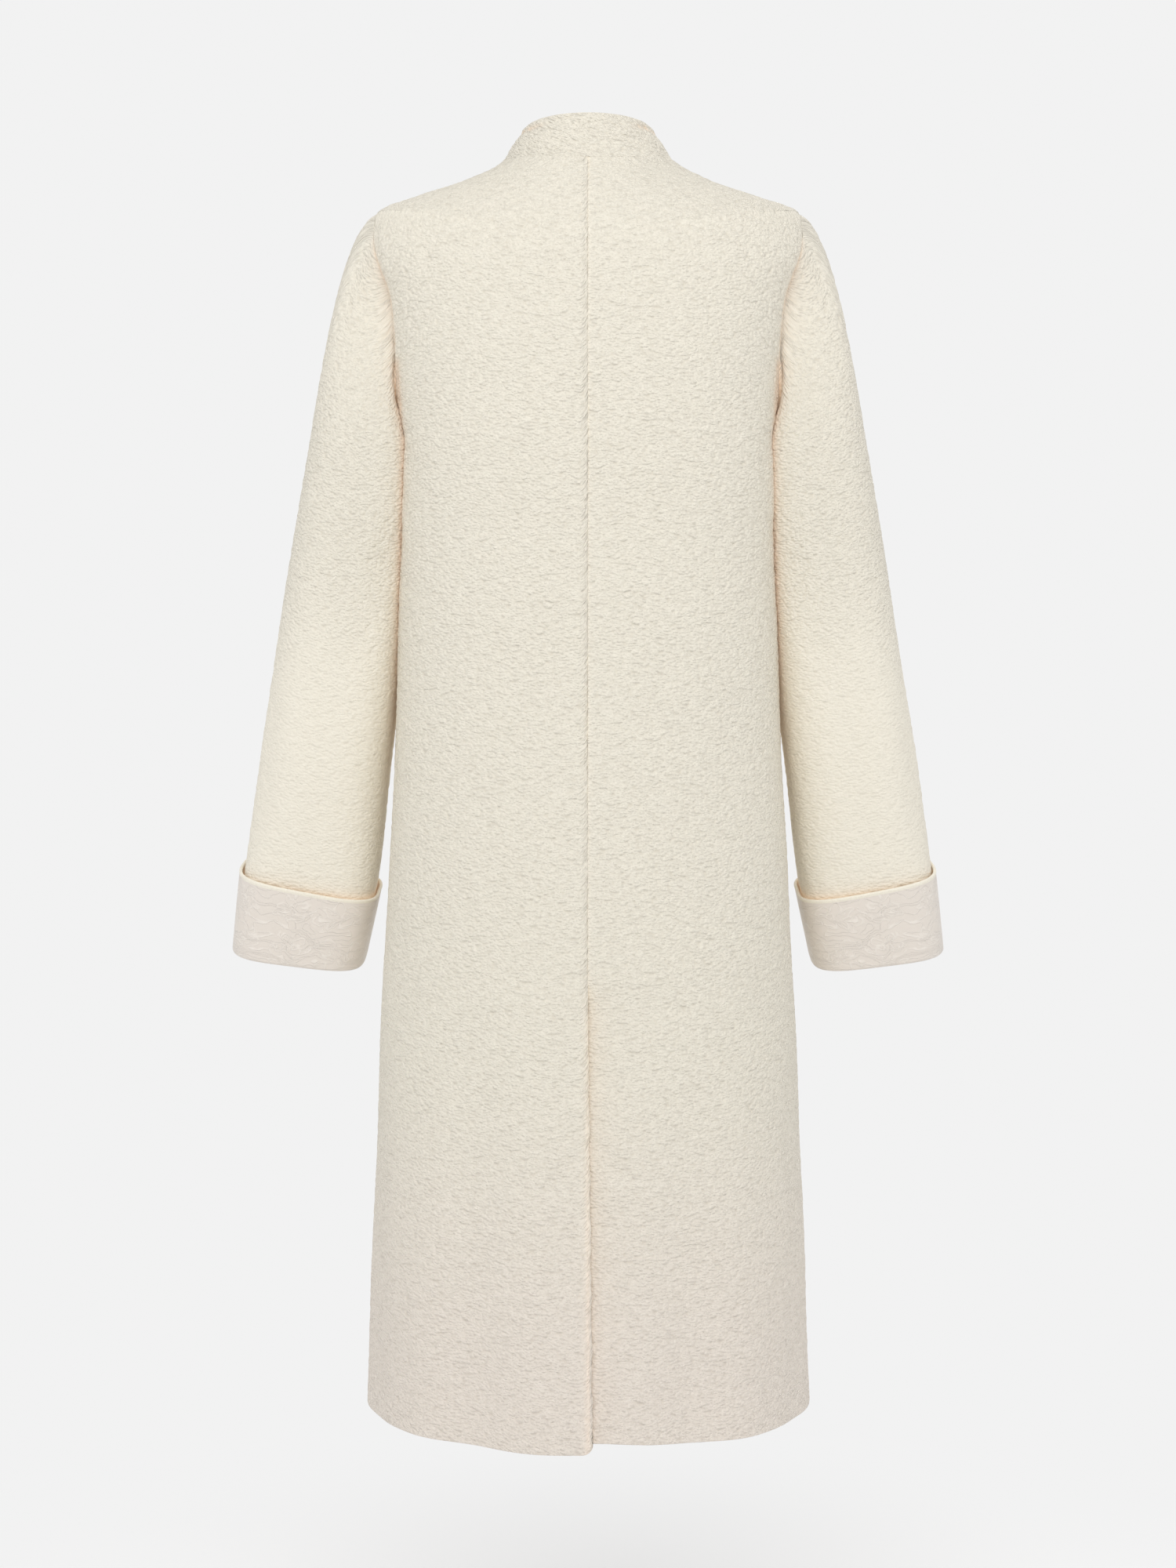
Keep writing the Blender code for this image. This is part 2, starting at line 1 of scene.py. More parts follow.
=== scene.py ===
"""Dresses the long coat in pebbled wool and satin, and sets up the studio.

Every body panel and the collar lie on one surface, lofted through the rings of the RINGS table, as
in the coat's solids. A place on it is a level (the height of the ring at the centre back) and a
girth (the distance along the ring from the centre back). A sleeve is a loft from the armhole
through the SLEEVE table. Tables and body sizes are in millimetres, and meshes are in metres.
"""

from collections import namedtuple
from math import cos, pi, radians, sin

import bpy
import numpy as np
from mathutils import Matrix, Vector


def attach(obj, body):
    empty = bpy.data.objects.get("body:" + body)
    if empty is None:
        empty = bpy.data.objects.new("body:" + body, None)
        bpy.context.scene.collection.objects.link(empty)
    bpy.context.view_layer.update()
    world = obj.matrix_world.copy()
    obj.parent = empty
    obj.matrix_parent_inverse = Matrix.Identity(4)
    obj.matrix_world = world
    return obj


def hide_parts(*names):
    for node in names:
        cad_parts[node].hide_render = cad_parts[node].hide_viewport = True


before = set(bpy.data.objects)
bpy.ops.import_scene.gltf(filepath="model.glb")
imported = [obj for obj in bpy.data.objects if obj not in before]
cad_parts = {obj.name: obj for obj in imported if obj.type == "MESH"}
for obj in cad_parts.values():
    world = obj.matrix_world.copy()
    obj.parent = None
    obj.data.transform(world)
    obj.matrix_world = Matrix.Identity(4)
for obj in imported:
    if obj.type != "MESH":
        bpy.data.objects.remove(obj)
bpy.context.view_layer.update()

bl_info = {
    "name": "Long wool coat",
    "version": (1, 0, 0),
    "blender": (4, 5, 0),
    "location": "View3D > Sidebar > Coat",
    "description": "Builds a long pebbled wool coat with a stand collar and satin cuffs",
    "category": "Object",
}

MM = 0.001
LEFT, RIGHT = 1, -1
SIDES = {LEFT: "left", RIGHT: "right"}
MIRROR = np.array([-1.0, 1.0, 1.0])

# The cut, in millimetres. It is the cut of the coat's solids, apart from what a comment names.
CLOTH = 3.0
CUFF_CLOTH = 2.2
SEAM_GAP = 0.02  # the soft pile closes the seams, which the solids leave open
ARMHOLE_GAP = 0.06
UNDERARM_GAP = 0.3
HEM_LEVEL = -1104.0
UNDERARM_LEVEL = -250.0
SHOULDER_LEVEL = -82.0
NECK_LEVEL = -13.0
COLLAR_TOP_LEVEL = 28.0
VENT_TOP_LEVEL = -744.0
VENT_UNDERLAP = 45.0
VENT_SLANT = 30.0
VENT_SLIP = 4.0
VENT_RISE = 26.0  # the layers of the solids part from higher up
VENT_OPENING = 22.0
VENT_PARTING = 60.0
VENT_WANDER = 0.45
OVER_WIDTH = 120.0
UNDER_WIDTH = 95.0
OVER_SHARE = 0.55
HEM_DROP = 5.0
HEM_DROP_WIDTH = 190.0
HEM_LIFT = 4.0
HEM_LIFT_WIDTH = 110.0
HEM_EASE = 160.0
FRONT_OVERLAP = 30.0
FRONT_RISE = 75.0
FRONT_EASE = 42.0
LAP_CLEARANCE = 1.5
ARMHOLE_BACK = 58.0
ARMHOLE_FRONT = 54.0
ARMHOLE_SQUARE = 2.3
CAP_LEAVING = 0.5
CAP_ARRIVING = 0.9
SLEEVE_SQUARE = 2.8  # the solids use a plain ellipse
CUFF_SQUARE = 3.8
CUFF_HEIGHT = 66.0
CUFF_FOOT = 1.5
CUFF_FLARE = 2.2
CUFF_TILT = 7.0
CUFF_TURN = 12.0
SLEEVE_CLEARANCE = 0.4  # the solids leave more room here
PRESS_EASE = 0.5
PRESS_SOFTNESS = 0.8
PRESS_MARGIN = 0.3
SQUARE_EASE = 120.0
CAP_LENGTH = 90.0
YOKE_LENGTH = 130.0
FOLD_MARGIN = 25.0
VENT_CORNER = 9.0
ROLL_RADIUS = 1.5
ROLL_JOIN = 1.6

# Seams and edges. The depth is how far the cloth turns in beside a seam, over the reach.
SEAM_REACH = 3.2
SIDE_SEAM_DEPTH = 0.7
NECK_SEAM_DEPTH = 0.12
ARMHOLE_SEAM_DEPTH = 0.6
SLEEVE_HEAD_REACH = 13.0
SLEEVE_HEAD_DEPTH = 2.3
COLLAR_STITCH = 8.5
EDGE_FULLNESS = 0.85  # a little less than 1, which keeps the rim from closing to a line
FAR = 99.0  # stands for a distance that has no effect
ARMHOLE_MARGIN = 30.0  # the armhole has none past this, above it and below it

# The pile: the tilts of its curls in degrees, their contrast, and a broad unevenness.
CURL_TILTS = (-27.0, 8.0, 33.0)
CURL_CONTRAST = 1.5
UNEVEN_RISE = 0.7
UNEVEN_LENGTH = 210.0
SLEEVE_UNEVEN_RISE = 0.6

# Painted shade in the creases, a warmer darker tint for their shade and the light through the pile:
# how far it reaches and how strong it is, by a seam, where a sleeve touches the body, above a cuff and
# in the fold behind an armhole.
SEAM_SHADE_REACH = 2.5
TOUCH_REACH, TOUCH_SHADE = 3.0, 0.9
CUFF_SHADE_REACH, CUFF_SHADE = 6.0, 0.8
FOLD_SHADE_REACH, FOLD_SHADE = 6.5, 0.95
# For each side of the vent, the reach, the painted shade and the painted light. At the back seam,
# reach and painted light.
VENT_SHADE_AND_LIGHT = {LEFT: (2.2, 0.15, 0.8), RIGHT: (9.0, 0.34, 0.2)}
VENT_PAINT_RISE, VENT_PAINT_EASE = 46.0, 60.0
BACK_SEAM_LIGHT = (1.3, 0.45)
# The painted light (an emission) on a sleeve's inner edge: its width in degrees, its lower end and its
# strength.
INNER_TURN, INNER_FOOT, INNER_PAINTED_LIGHT = 38.0, -640.0, 0.5
# The pile lies flatter on the lower sleeves, with less painted shade in its gaps, by this share
# below this height. It also lies flat within these distances of an edge and of a seam.
SOFT_SHARE, SOFT_TOP = 0.5, -340.0
CALM_EDGE, CALM_SEAM = 4.0, 1.6

# The finer relief of the wool, as layers of pebbles: their turn in degrees, the stretch of each
# axis and how many lie along a metre. Then the levels, in metres, between which the painted hem shade
# fades.
PEBBLE_LAYERS = [(-12.0, (0.72, 1.2, 1.0), 300.0), (24.0, (0.66, 1.25, 1.0), 360.0)]
HEM_SHADE_LEVELS = (-1.08, -0.76)

# Places on the texture maps.
FRONT_MAP_END = 500.0
CUFF_ROUND = 288.0
DEGREE_RUN = 0.95  # millimetres round a sleeve for each degree

# One row for each section of the body and collar, from the hem up. The three heights are those at
# the centre back, the side and the centre front. The square columns are the exponents of the back
# and front halves: 2 is an ellipse, and more is squarer.
Ring = namedtuple(
    "Ring", "back_z side_z front_z half_width side_y back_y front_y back_square front_square"
)
RINGS = [
    Ring(-1104, -1104, -1104, 197.0, -2, 160, -162, 2.15, 2.15),
    Ring(-1045, -1045, -1045, 195.0, -2, 156, -159, 2.15, 2.15),
    Ring(-905, -905, -905, 190.0, -2, 148, -152, 2.2, 2.2),
    Ring(-765, -765, -765, 184.5, -2, 140, -145, 2.2, 2.2),
    Ring(-622, -622, -622, 176.5, -2, 131, -139, 2.25, 2.2),
    Ring(-527, -527, -527, 171.8, -2, 124, -136, 2.3, 2.2),
    Ring(-440, -440, -440, 169.2, -2, 119, -136, 2.4, 2.2),
    Ring(-340, -340, -340, 169.0, -3, 119, -140, 2.5, 2.2),
    Ring(-250, -250, -250, 171.0, -3, 123, -143, 2.6, 2.2),
    Ring(-196, -188, -204, 176.0, -4, 123, -141, 2.55, 2.15),
    Ring(-150, -130, -168, 184.0, -6, 121, -137, 2.4, 2.1),
    Ring(-112, -80, -136, 199.0, -8, 117, -131, 2.2, 2.05),
    Ring(-82, -46, -112, 189.0, -10, 110, -124, 2.05, 2.0),
    Ring(-60, -33, -94, 156.0, -9, 100, -114, 2.0, 2.0),
    Ring(-36, -20, -77, 114.5, -7, 85, -98, 2.0, 2.0),
    Ring(-13, -2, -60, 77.7, -4, 68, -74, 2.1, 2.1),
    Ring(8, 13, -41, 67.5, -2, 63, -66, 2.1, 2.1),
    Ring(28, 28, -24, 55.5, 0, 60, -61, 2.1, 2.1),
]

# One row for each section of the left sleeve, from the underarm down. The roll lifts the outer side
# of a section, and the pitch drops its back, both in degrees.
Section = namedtuple("Section", "z outer_x inner_x centre_y half_depth roll pitch")
SLEEVE = [
    Section(-262, 249.0, 141.5, -8, 72, 0, 0),
    Section(-359, 266.0, 153.5, -13, 69, 0, 0),
    Section(-443, 280.0, 166.0, -20, 66, 2, 4),
    Section(-527, 294.5, 178.5, -31, 61, 6, 8),
    Section(-622, 309.0, 190.5, -48, 55, 8, 12),
    Section(-709, 321.3, 208.3, -66, 50, 7, 12),
]

# One row for each soft fold that runs up from the hem. The girth is where it meets the hem, the
# lean is how far it has moved towards the centre back where it fades out, and the rise is positive
# for a ridge and negative for a trough.
Fold = namedtuple("Fold", "side girth lean width rise top_level")
FOLDS = [
    Fold(LEFT, 42, 0, 24, 2.4, -700),
    Fold(LEFT, 98, -16, 26, -4.2, -560),
    Fold(LEFT, 150, -10, 24, 2.8, -760),
    Fold(LEFT, 225, 0, 30, -3.6, -640),
    Fold(LEFT, 330, 0, 30, 3.2, -700),
    Fold(LEFT, 405, 0, 28, -3.6, -620),
    Fold(RIGHT, 44, 0, 22, 2.6, -700),
    Fold(RIGHT, 90, -14, 24, -4.2, -560),
    Fold(RIGHT, 140, 0, 24, 3.0, -760),
    Fold(RIGHT, 215, 0, 30, -3.4, -640),
    Fold(RIGHT, 320, 0, 30, 3.4, -700),
    Fold(RIGHT, 400, 0, 28, -3.8, -620),
]

# One row for each smaller crease of the body, which the solids leave out. It is a soft line from
# one place to another, a trough where the rise is negative.
Crease = namedtuple("Crease", "side girth level to_girth to_level width rise")
CREASES = [
    Crease(LEFT, 205, -228, 150, -300, 9, -1.2),
    Crease(LEFT, 214, -262, 170, -352, 10, 0.9),
    Crease(LEFT, 150, -96, 128, -150, 8, -1.0),
    Crease(RIGHT, 203, -232, 152, -296, 9, -1.1),
    Crease(RIGHT, 214, -266, 166, -344, 10, 0.9),
    Crease(RIGHT, 150, -94, 126, -142, 8, -1.0),
]

# The same on the left and right sleeve: the turn is in degrees, 0 on the outer side and 90 behind.
SleeveCrease = namedtuple("SleeveCrease", "side turn z to_turn to_z width rise")
SLEEVE_CREASES = [
    SleeveCrease(LEFT, 128, -300, 108, -470, 13, -2.0),
    SleeveCrease(LEFT, 60, -330, 66, -560, 16, 1.2),
    SleeveCrease(LEFT, 40, -440, 48, -640, 11, -1.4),
    SleeveCrease(RIGHT, 126, -310, 106, -480, 13, -2.0),
    SleeveCrease(RIGHT, 58, -330, 64, -570, 16, 1.2),
    SleeveCrease(RIGHT, 38, -450, 46, -640, 11, -1.4),
]

# The cut of each kind of piece: width and length in metres, its area in square metres and its slot.
Cut = namedtuple("Cut", "flat area slot")

# One row for each soft light, with its place, aim and size in metres, and share of the power.
Light = namedtuple("Light", "name place aim size share")
STUDIO_LIGHTS = [
    Light("key_light", (0.15, 2.3, 1.25), (0, 0, -0.25), 2.0, 1.0),
    Light("back_light", (-0.8, -2.8, 1.4), (0, 0, -0.5), 2.4, 0.8),
]

# The floor and the camera, in metres, and the lens in millimetres.
FLOOR_RADIUS = 6.0
FLOOR_FADE = (1.52, 1.85)  # how far out the floor turns into the backdrop
CAMERA_PLACE, CAMERA_LENS = (0.0, 2.1, -0.555), 54.0

# How finely the cloth is divided, in millimetres.
COLUMN_STEP = 2.3
ROW_STEP = 2.0
ARMHOLE_ROWS = 84
CAP_ROWS = 74
COLLAR_ROW_STEP, COLLAR_COLUMN_STEP = 1.5, 1.7
CUFF_COLUMNS = 150
CUFF_STEPS = namedtuple("CuffSteps", "arc rise roll")(15, 34, 14)
INNER_EVERY = 8  # the inside has one row and column for this many outside
EDGE_STEPS = np.array([0.0, 0.2, 0.75, 1.5, 3.0])  # the first rows in from an edge


def smooth(x):
    """0 below 0, 1 above 1, and an even rise between."""
    x = np.clip(x, 0.0, 1.0)
    return x * x * (3 - 2 * x)


def unit(v):
    return v / np.linalg.norm(v, axis=-1, keepdims=True)


def eased(table, key, at):
    """The columns of a table at values of its key, by a monotone cubic through its rows."""
    rows = sorted(table, key=lambda row: getattr(row, key))
    x = np.array([getattr(row, key) for row in rows], float)
    y = np.array(rows, float)
    slope = np.diff(y, axis=0) / np.diff(x)[:, None]
    before, after = slope[:-1], slope[1:]
    same = before * after > 0
    inner = np.where(same, 2 * before * after / np.where(same, before + after, 1), 0)
    tangent = np.vstack([slope[:1], inner, slope[-1:]])
    at = np.atleast_1d(np.asarray(at, float))
    i = np.clip(np.searchsorted(x, at) - 1, 0, len(x) - 2)
    h = (x[i + 1] - x[i])[:, None]
    t = (at - x[i])[:, None] / h
    value = (
        (1 + 2 * t) * (1 - t) ** 2 * y[i]
        + t * (1 - t) ** 2 * h * tangent[i]
        + t * t * (3 - 2 * t) * y[i + 1]
        + t * t * (t - 1) * h * tangent[i + 1]
    )
    return type(rows[0])(*value.T)


# --- the body surface -------------------------------------------------------------------------


def sleeve_square(z):
    """How square a sleeve's section is: more so towards the cuff."""
    low = smooth((SLEEVE[4].z + SQUARE_EASE / 2 - z) / SQUARE_EASE)
    return SLEEVE_SQUARE + (CUFF_SQUARE - SLEEVE_SQUARE) * low


def pressed_in(x, y, z):
    """The half width of the body where the sleeve lies against it."""
    section = eased(SLEEVE, "z", np.clip(z[:, 0], SLEEVE[-2].z, SLEEVE[0].z))
    outer, inner, centre_y, half_depth = (
        column[:, None]
        for column in (section.outer_x, section.inner_x, section.centre_y, section.half_depth)
    )
    across = np.clip((y - centre_y) / (half_depth + SLEEVE_CLEARANCE), -1, 1)
    square = sleeve_square(z)
    reach = (1 - np.abs(across) ** square) ** (1 / square)
    limit = (outer + inner) / 2 - ((outer - inner) / 2 + SLEEVE_CLEARANCE) * reach
    limit = limit + PRESS_EASE * np.maximum(0.0, z - UNDERARM_LEVEL)
    return -PRESS_SOFTNESS * np.logaddexp(-x / PRESS_SOFTNESS, -limit / PRESS_SOFTNESS)


def fold_height(side, girth, level, whole):
    """How far the soft folds lift the cloth at a place. It is 0 at the centre back and front."""
    total = np.zeros_like(girth)
    for fold in FOLDS:
        if fold.side == side:
            climb = (level - HEM_LEVEL) / (fold.top_level - HEM_LEVEL)
            centre = fold.girth + fold.lean * climb
            strength = fold.rise * (1 - smooth(climb))
            total = total + strength * np.exp(-(((girth - centre) / fold.width) ** 2))
    return total * smooth(girth / FOLD_MARGIN) * smooth((whole - girth) / FOLD_MARGIN)


class HalfRings:
    """One side's halves of the rings at some levels, from the centre back to the centre front."""

    STEPS = 361

    def __init__(self, levels, side):
        r = eased(RINGS, "back_z", levels)
        r = type(r)(*(column[:, None] for column in r))
        angle = np.linspace(0, pi, self.STEPS)
        c, s = np.cos(angle)[None], np.sin(angle)[None]
        behind = c > 0
        depth = np.where(behind, r.back_y - r.side_y, r.side_y - r.front_y)
        square = np.where(behind, r.back_square, r.front_square)
        radius = ((s / r.half_width) ** square + (np.abs(c) / depth) ** square) ** (-1 / square)
        x, y = radius * s, r.side_y + radius * c
        end_z = np.where(behind, r.back_z, r.front_z)
        z = r.side_z + (end_z - r.side_z) * (np.abs(radius * c) / depth) ** 2
        level = np.asarray(levels, float)[:, None]
        aside = np.where(level < SHOULDER_LEVEL, smooth(s / PRESS_MARGIN), 0)
        x = pressed_in(x, y, r.side_z) * aside + x * (1 - aside)
        flat = np.stack([x, y], axis=-1)
        length = self.run(flat)
        along = np.gradient(flat, axis=1)
        out = unit(np.stack([-along[..., 1], along[..., 0]], axis=-1))
        flat = flat + out * fold_height(side, length, level, length[:, -1:])[..., None]
        self.points = np.concatenate([flat, z[..., None]], axis=-1)
        self.side_y = r.side_y[:, 0]
        self.girth = self.run(self.points)
        self.whole = self.girth[:, -1]
        self.at_side = self.girth[:, self.STEPS // 2]

    @staticmethod
    def run(points):
        steps = np.linalg.norm(np.diff(points, axis=1), axis=-1)
        return np.concatenate([np.zeros((len(steps), 1)), np.cumsum(steps, axis=1)], axis=1)

    def place(self, girth):
        rows = [
            [np.interp(row, known, column) for column in points.T]
            for row, known, points in zip(girth, self.girth, self.points)
        ]
        return np.moveaxis(np.array(rows), 1, 2)

    def girth_at_depth(self, y):
        rows = zip(y, self.points, self.girth)
        return np.array([np.interp(-at, -points[:, 1], girth) for at, points, girth in rows])


def on_body(near, far, girth):
    """The points at the given girths, going on along the other half past either end."""
    whole = near.whole[:, None]
    past_back, past_front = girth < 0, girth > whole
    reach = np.where(past_back, -girth, far.whole[:, None] + whole - girth)
    own, other = near.place(girth), far.place(reach) * MIRROR
    return np.where((past_back | past_front)[..., None], other, own)


def normals_of(points, closed_round=False):
    """The outward normals of a grid whose rows go up and whose columns go round to the front."""
    up = np.gradient(points, axis=0)
    if closed_round:
        across = np.roll(points, -1, axis=1) - np.roll(points, 1, axis=1)
    else:
        across = np.gradient(points, axis=1)
    return unit(np.cross(up, across))


def armhole_reach(levels):
    """How far the armhole's edge lies from the shoulder line, as a share of its full depth."""
    share = armhole_share(levels)
    return (1 - np.abs(2 * share - 1) ** ARMHOLE_SQUARE) ** (1 / ARMHOLE_SQUARE)


def armhole_share(levels):
    """0 at the underarm and 1 at the shoulder point."""
    share = (levels - UNDERARM_LEVEL) / (SHOULDER_LEVEL - UNDERARM_LEVEL)
    return np.clip(share, 0, 1)


def panel_edge(rings, levels, behind):
    """The girth at which the back or front meets its neighbour, or the armhole."""
    depth = ARMHOLE_BACK if behind else -ARMHOLE_FRONT
    reach = armhole_reach(levels)
    edge = rings.girth_at_depth(rings.side_y + depth * reach)
    return np.where(reach > 0, edge, rings.at_side)


def shoulder_ease(share):
    """0 on most of the armhole and 1 over the shoulder, where the seam lies flat."""
    return smooth((share - 0.72) / 0.2)


def armhole_levels():
    turn = np.linspace(0, pi, ARMHOLE_ROWS + 1)
    share = (1 - np.cos(turn)) / 2
    return UNDERARM_LEVEL + (SHOULDER_LEVEL - UNDERARM_LEVEL) * share


def armhole_crease(levels, behind):
    """How far the sleeve turns in at the seam. At the underarm it turns out and folds back."""
    share = armhole_share(levels)
    at_underarm, at_top = -150.0, -30.0
    at_middle = np.where(behind, 38.0, 20.0)
    low, high = smooth(share / 0.45), smooth((share - 0.45) / 0.55)
    return np.radians(at_underarm + (at_middle - at_underarm) * low + (at_top - at_middle) * high)


def armhole_loop():
    """The left armhole, from the shoulder point down the back and up the front.

    It gives the points, the body's normals, the ways into the hole, the crease and the gap.
    """
    up = armhole_levels()
    levels = np.append(up[::-1], up[1:-1])
    behind = np.arange(len(levels)) <= ARMHOLE_ROWS
    middle, above, below = (HalfRings(levels + lift, LEFT) for lift in (0, 1, -1))
    edge = np.where(
        behind, panel_edge(middle, levels, True), panel_edge(middle, levels, False)
    )
    share = edge / middle.whole
    points = middle.place(edge[:, None])[:, 0]
    across = (middle.place(edge[:, None] + 1) - middle.place(edge[:, None] - 1))[:, 0]
    rise = above.place((share * above.whole)[:, None]) - below.place((share * below.whole)[:, None])
    normals = unit(np.cross(rise[:, 0], across))
    along = unit(np.roll(points, -1, axis=0) - np.roll(points, 1, axis=0))
    into = unit(np.cross(along, normals))
    crease = armhole_crease(levels, behind)[:, None]
    low = (1 - smooth(armhole_share(levels) / 0.6))[:, None]
    return points, normals, into, crease, ARMHOLE_GAP + (UNDERARM_GAP - ARMHOLE_GAP) * low


# --- the face of the cloth --------------------------------------------------------------------


def scattered(cell_x, cell_y, salt):
    """A repeatable random number from 0 to 1 for each cell."""
    mixed = cell_x * 374761393 + cell_y * 668265263 + salt * 144665
    mixed = (mixed ^ (mixed >> 13)) * 1274126177
    return ((mixed ^ (mixed >> 16)) & 0xFFFFFF) / float(0xFFFFFF)


def soft_noise(x, y, salt):
    """A smooth random height from 0 to 1 that changes from one square of the plane to the next."""
    i, j = np.floor(x).astype(np.int64), np.floor(y).astype(np.int64)
    across, up = smooth(x - i), smooth(y - j)
    low = scattered(i, j, salt) * (1 - across) + scattered(i + 1, j, salt) * across
    high = scattered(i, j + 1, salt) * (1 - across) + scattered(i + 1, j + 1, salt) * across
    return low * (1 - up) + high * up


def curls(u, v, width, height, salt):
    """How high the wool's curls stand, from 0 in the gaps to 1: ripples that lean both ways."""
    total = np.zeros(np.broadcast(u, v).shape)
    for k, tilt in enumerate(CURL_TILTS):
        c, s = cos(radians(tilt)), sin(radians(tilt))
        total = total + soft_noise((u * c + v * s) / width, (v * c - u * s) / height, salt + k)
    return smooth((total / len(CURL_TILTS) - 0.5) * CURL_CONTRAST + 0.5)


def waves(u, v, length, salt):
    """A gentle unevenness between -1 and 1, over about the given length."""
    total = np.zeros(np.broadcast(u, v).shape)
    for k in range(5):
        angle, phase = 2.4 * k + salt, 1.7 * k * k + 3.1 * salt
        share = (0.7 + 0.18 * k) * 2 * pi / length
        total = total + np.sin(share * (u * np.cos(angle) + v * np.sin(angle)) + phase)
    return total / 3.2


def line_height(u, v, lines):
    """The lift of creases, each given as (start u, v, end u, v, width, rise)."""
    total = np.zeros(np.broadcast(u, v).shape)
    for u0, v0, u1, v1, width, rise in lines:
        length = np.hypot(u1 - u0, v1 - v0)
        along = ((u - u0) * (u1 - u0) + (v - v0) * (v1 - v0)) / length
        away = ((u - u0) * (v1 - v0) - (v - v0) * (u1 - u0)) / length
        fade = smooth(along / (0.35 * length)) * smooth((length - along) / (0.35 * length))
        total = total + rise * fade * np.exp(-((away / width) ** 2))
    return total


def seam_roll(distance, reach, depth):
    """How far the cloth turns in beside a seam."""
    return -depth * np.clip(1 - distance / reach, 0, 1) ** 2


def edge_round(distance, radius):
    """How far the cloth rounds away at a free edge."""
    inward = np.clip(radius - distance, 0, radius)
    return -(radius - np.sqrt(np.maximum(radius**2 - inward**2, 0))) * EDGE_FULLNESS


def spaced(start, end, step):
    """Places from start to end, closer together at both ends, with the same count in each row."""
    start, end = np.atleast_1d(start)[:, None], np.atleast_1d(end)[:, None]
    room = EDGE_STEPS[-1]
    count = int(np.max(end - start) / step)
    share = np.linspace(0, 1, count)[None]
    middle = start + room + (end - start - 2 * room) * share
    return np.hstack([start + EDGE_STEPS[:-1], middle, end - EDGE_STEPS[-2::-1]])


def kept_indices(count):
    """The rows or columns that the inside of the cloth keeps: all by the edges, few between."""
    edge = len(EDGE_STEPS)
    middle = np.arange(edge, count - edge, INNER_EVERY)
    return np.unique(np.concatenate([np.arange(edge), middle, np.arange(count - edge, count)]))


def arc_map(points):
    """Each vertex's distance round and up the cloth, in millimetres, for its texture map."""
    steps = np.diff(points, axis=1)
    u = np.concatenate(
        [np.zeros((len(points), 1)), np.cumsum(np.linalg.norm(steps, axis=-1), axis=1)], axis=1
    )
    along = unit(np.gradient(points, axis=1))
    rise = np.diff(points, axis=0)
    middle = (along[1:] + along[:-1]) / 2
    rise = rise - middle * (rise * middle).sum(axis=-1, keepdims=True)
    v = np.concatenate(
        [np.zeros((1, points.shape[1])), np.cumsum(np.linalg.norm(rise, axis=-1), axis=0)], axis=0
    )
    return u, v


def quads(index):
    """The faces between the points of a grid, given as their numbers."""
    corners = [index[:-1, :-1], index[:-1, 1:], index[1:, 1:], index[1:, :-1]]
    return np.stack(corners, axis=-1).reshape(-1, 4)


def rim(fine, coarse, kept, forward):
    """The faces from an edge of the outside to the same edge of the inside."""
    faces = []
    for k in range(len(kept) - 1):
        face = fine[kept[k] : kept[k + 1] + 1][::-1].tolist() + coarse[k : k + 2].tolist()
        faces.append(face if forward else face[::-1])
    return faces


def cloth_wall(name, outer, inner, u, v, closed_round, turn_round, materials, shades):
    """A closed wall of cloth: a fine grid outside, and every few of its rows and columns inside."""
    rows, columns = outer.shape[:2]
    kept_rows = kept_indices(rows)
    kept_columns = np.arange(0, columns, INNER_EVERY) if closed_round else kept_indices(columns)
    kept = np.ix_(kept_rows, kept_columns)
    count = len(kept_rows), len(kept_columns)
    fine = np.arange(rows * columns).reshape(rows, columns)
    coarse = rows * columns + np.arange(count[0] * count[1]).reshape(count)
    spans = kept_columns
    if closed_round:  # each row ends where it starts
        fine, coarse = (np.pad(grid, ((0, 0), (0, 1)), "wrap") for grid in (fine, coarse))
        spans = np.append(kept_columns, columns)
    outside, inside = quads(fine), quads(coarse)[:, ::-1]
    faces = outside.tolist() + inside.tolist()
    faces += rim(fine[0], coarse[0], spans, True) + rim(fine[-1], coarse[-1], spans, False)
    if not closed_round:
        faces += rim(fine[:, 0], coarse[:, 0], kept_rows, False)
        faces += rim(fine[:, -1], coarse[:, -1], kept_rows, True)
    if turn_round:
        faces = [face[::-1] for face in faces]
    slots = np.zeros(len(faces), np.int32)
    slots[len(outside) : len(outside) + len(inside)] = 1
    points = np.concatenate([outer.reshape(-1, 3), inner[kept].reshape(-1, 3)])
    place = np.stack([u, v], axis=-1)
    place = np.concatenate([place.reshape(-1, 2), place[kept].reshape(-1, 2)])
    made = cloth_object(name, points, faces, slots, place, materials)
    for key, shade in shades.items():
        values = np.concatenate([shade.ravel(), shade[kept].ravel()])
        made.data.attributes.new(key, "FLOAT", "POINT").data.foreach_set("value", values)
    return made


def cloth_object(name, points, faces, slots, place, materials, around=None):
    """One piece of cloth, from points and places in millimetres.

    A piece that is closed round has its length around, which mends the map where it starts again.
    """
    mesh = bpy.data.meshes.new(name)
    mesh.from_pydata((points * MM).tolist(), [], faces)
    for finish in materials:
        mesh.materials.append(finish)
    mesh.polygons.foreach_set("material_index", slots)
    corner = np.empty(len(mesh.loops), np.int32)
    mesh.loops.foreach_get("vertex_index", corner)
    uv = place[corner]
    if around:
        face_u = uv[:, 0].reshape(-1, 4)
        wrapped = np.ptp(face_u, axis=1, keepdims=True) > around / 2
        face_u += around * (wrapped & (face_u < around / 2))
        uv[:, 0] = face_u.ravel()
    mesh.uv_layers.new(name="cloth").data.foreach_set("uv", (uv * MM).ravel())
    mesh.shade_smooth()
    made = bpy.data.objects.new(name, mesh)
    bpy.context.scene.collection.objects.link(made)
    return made


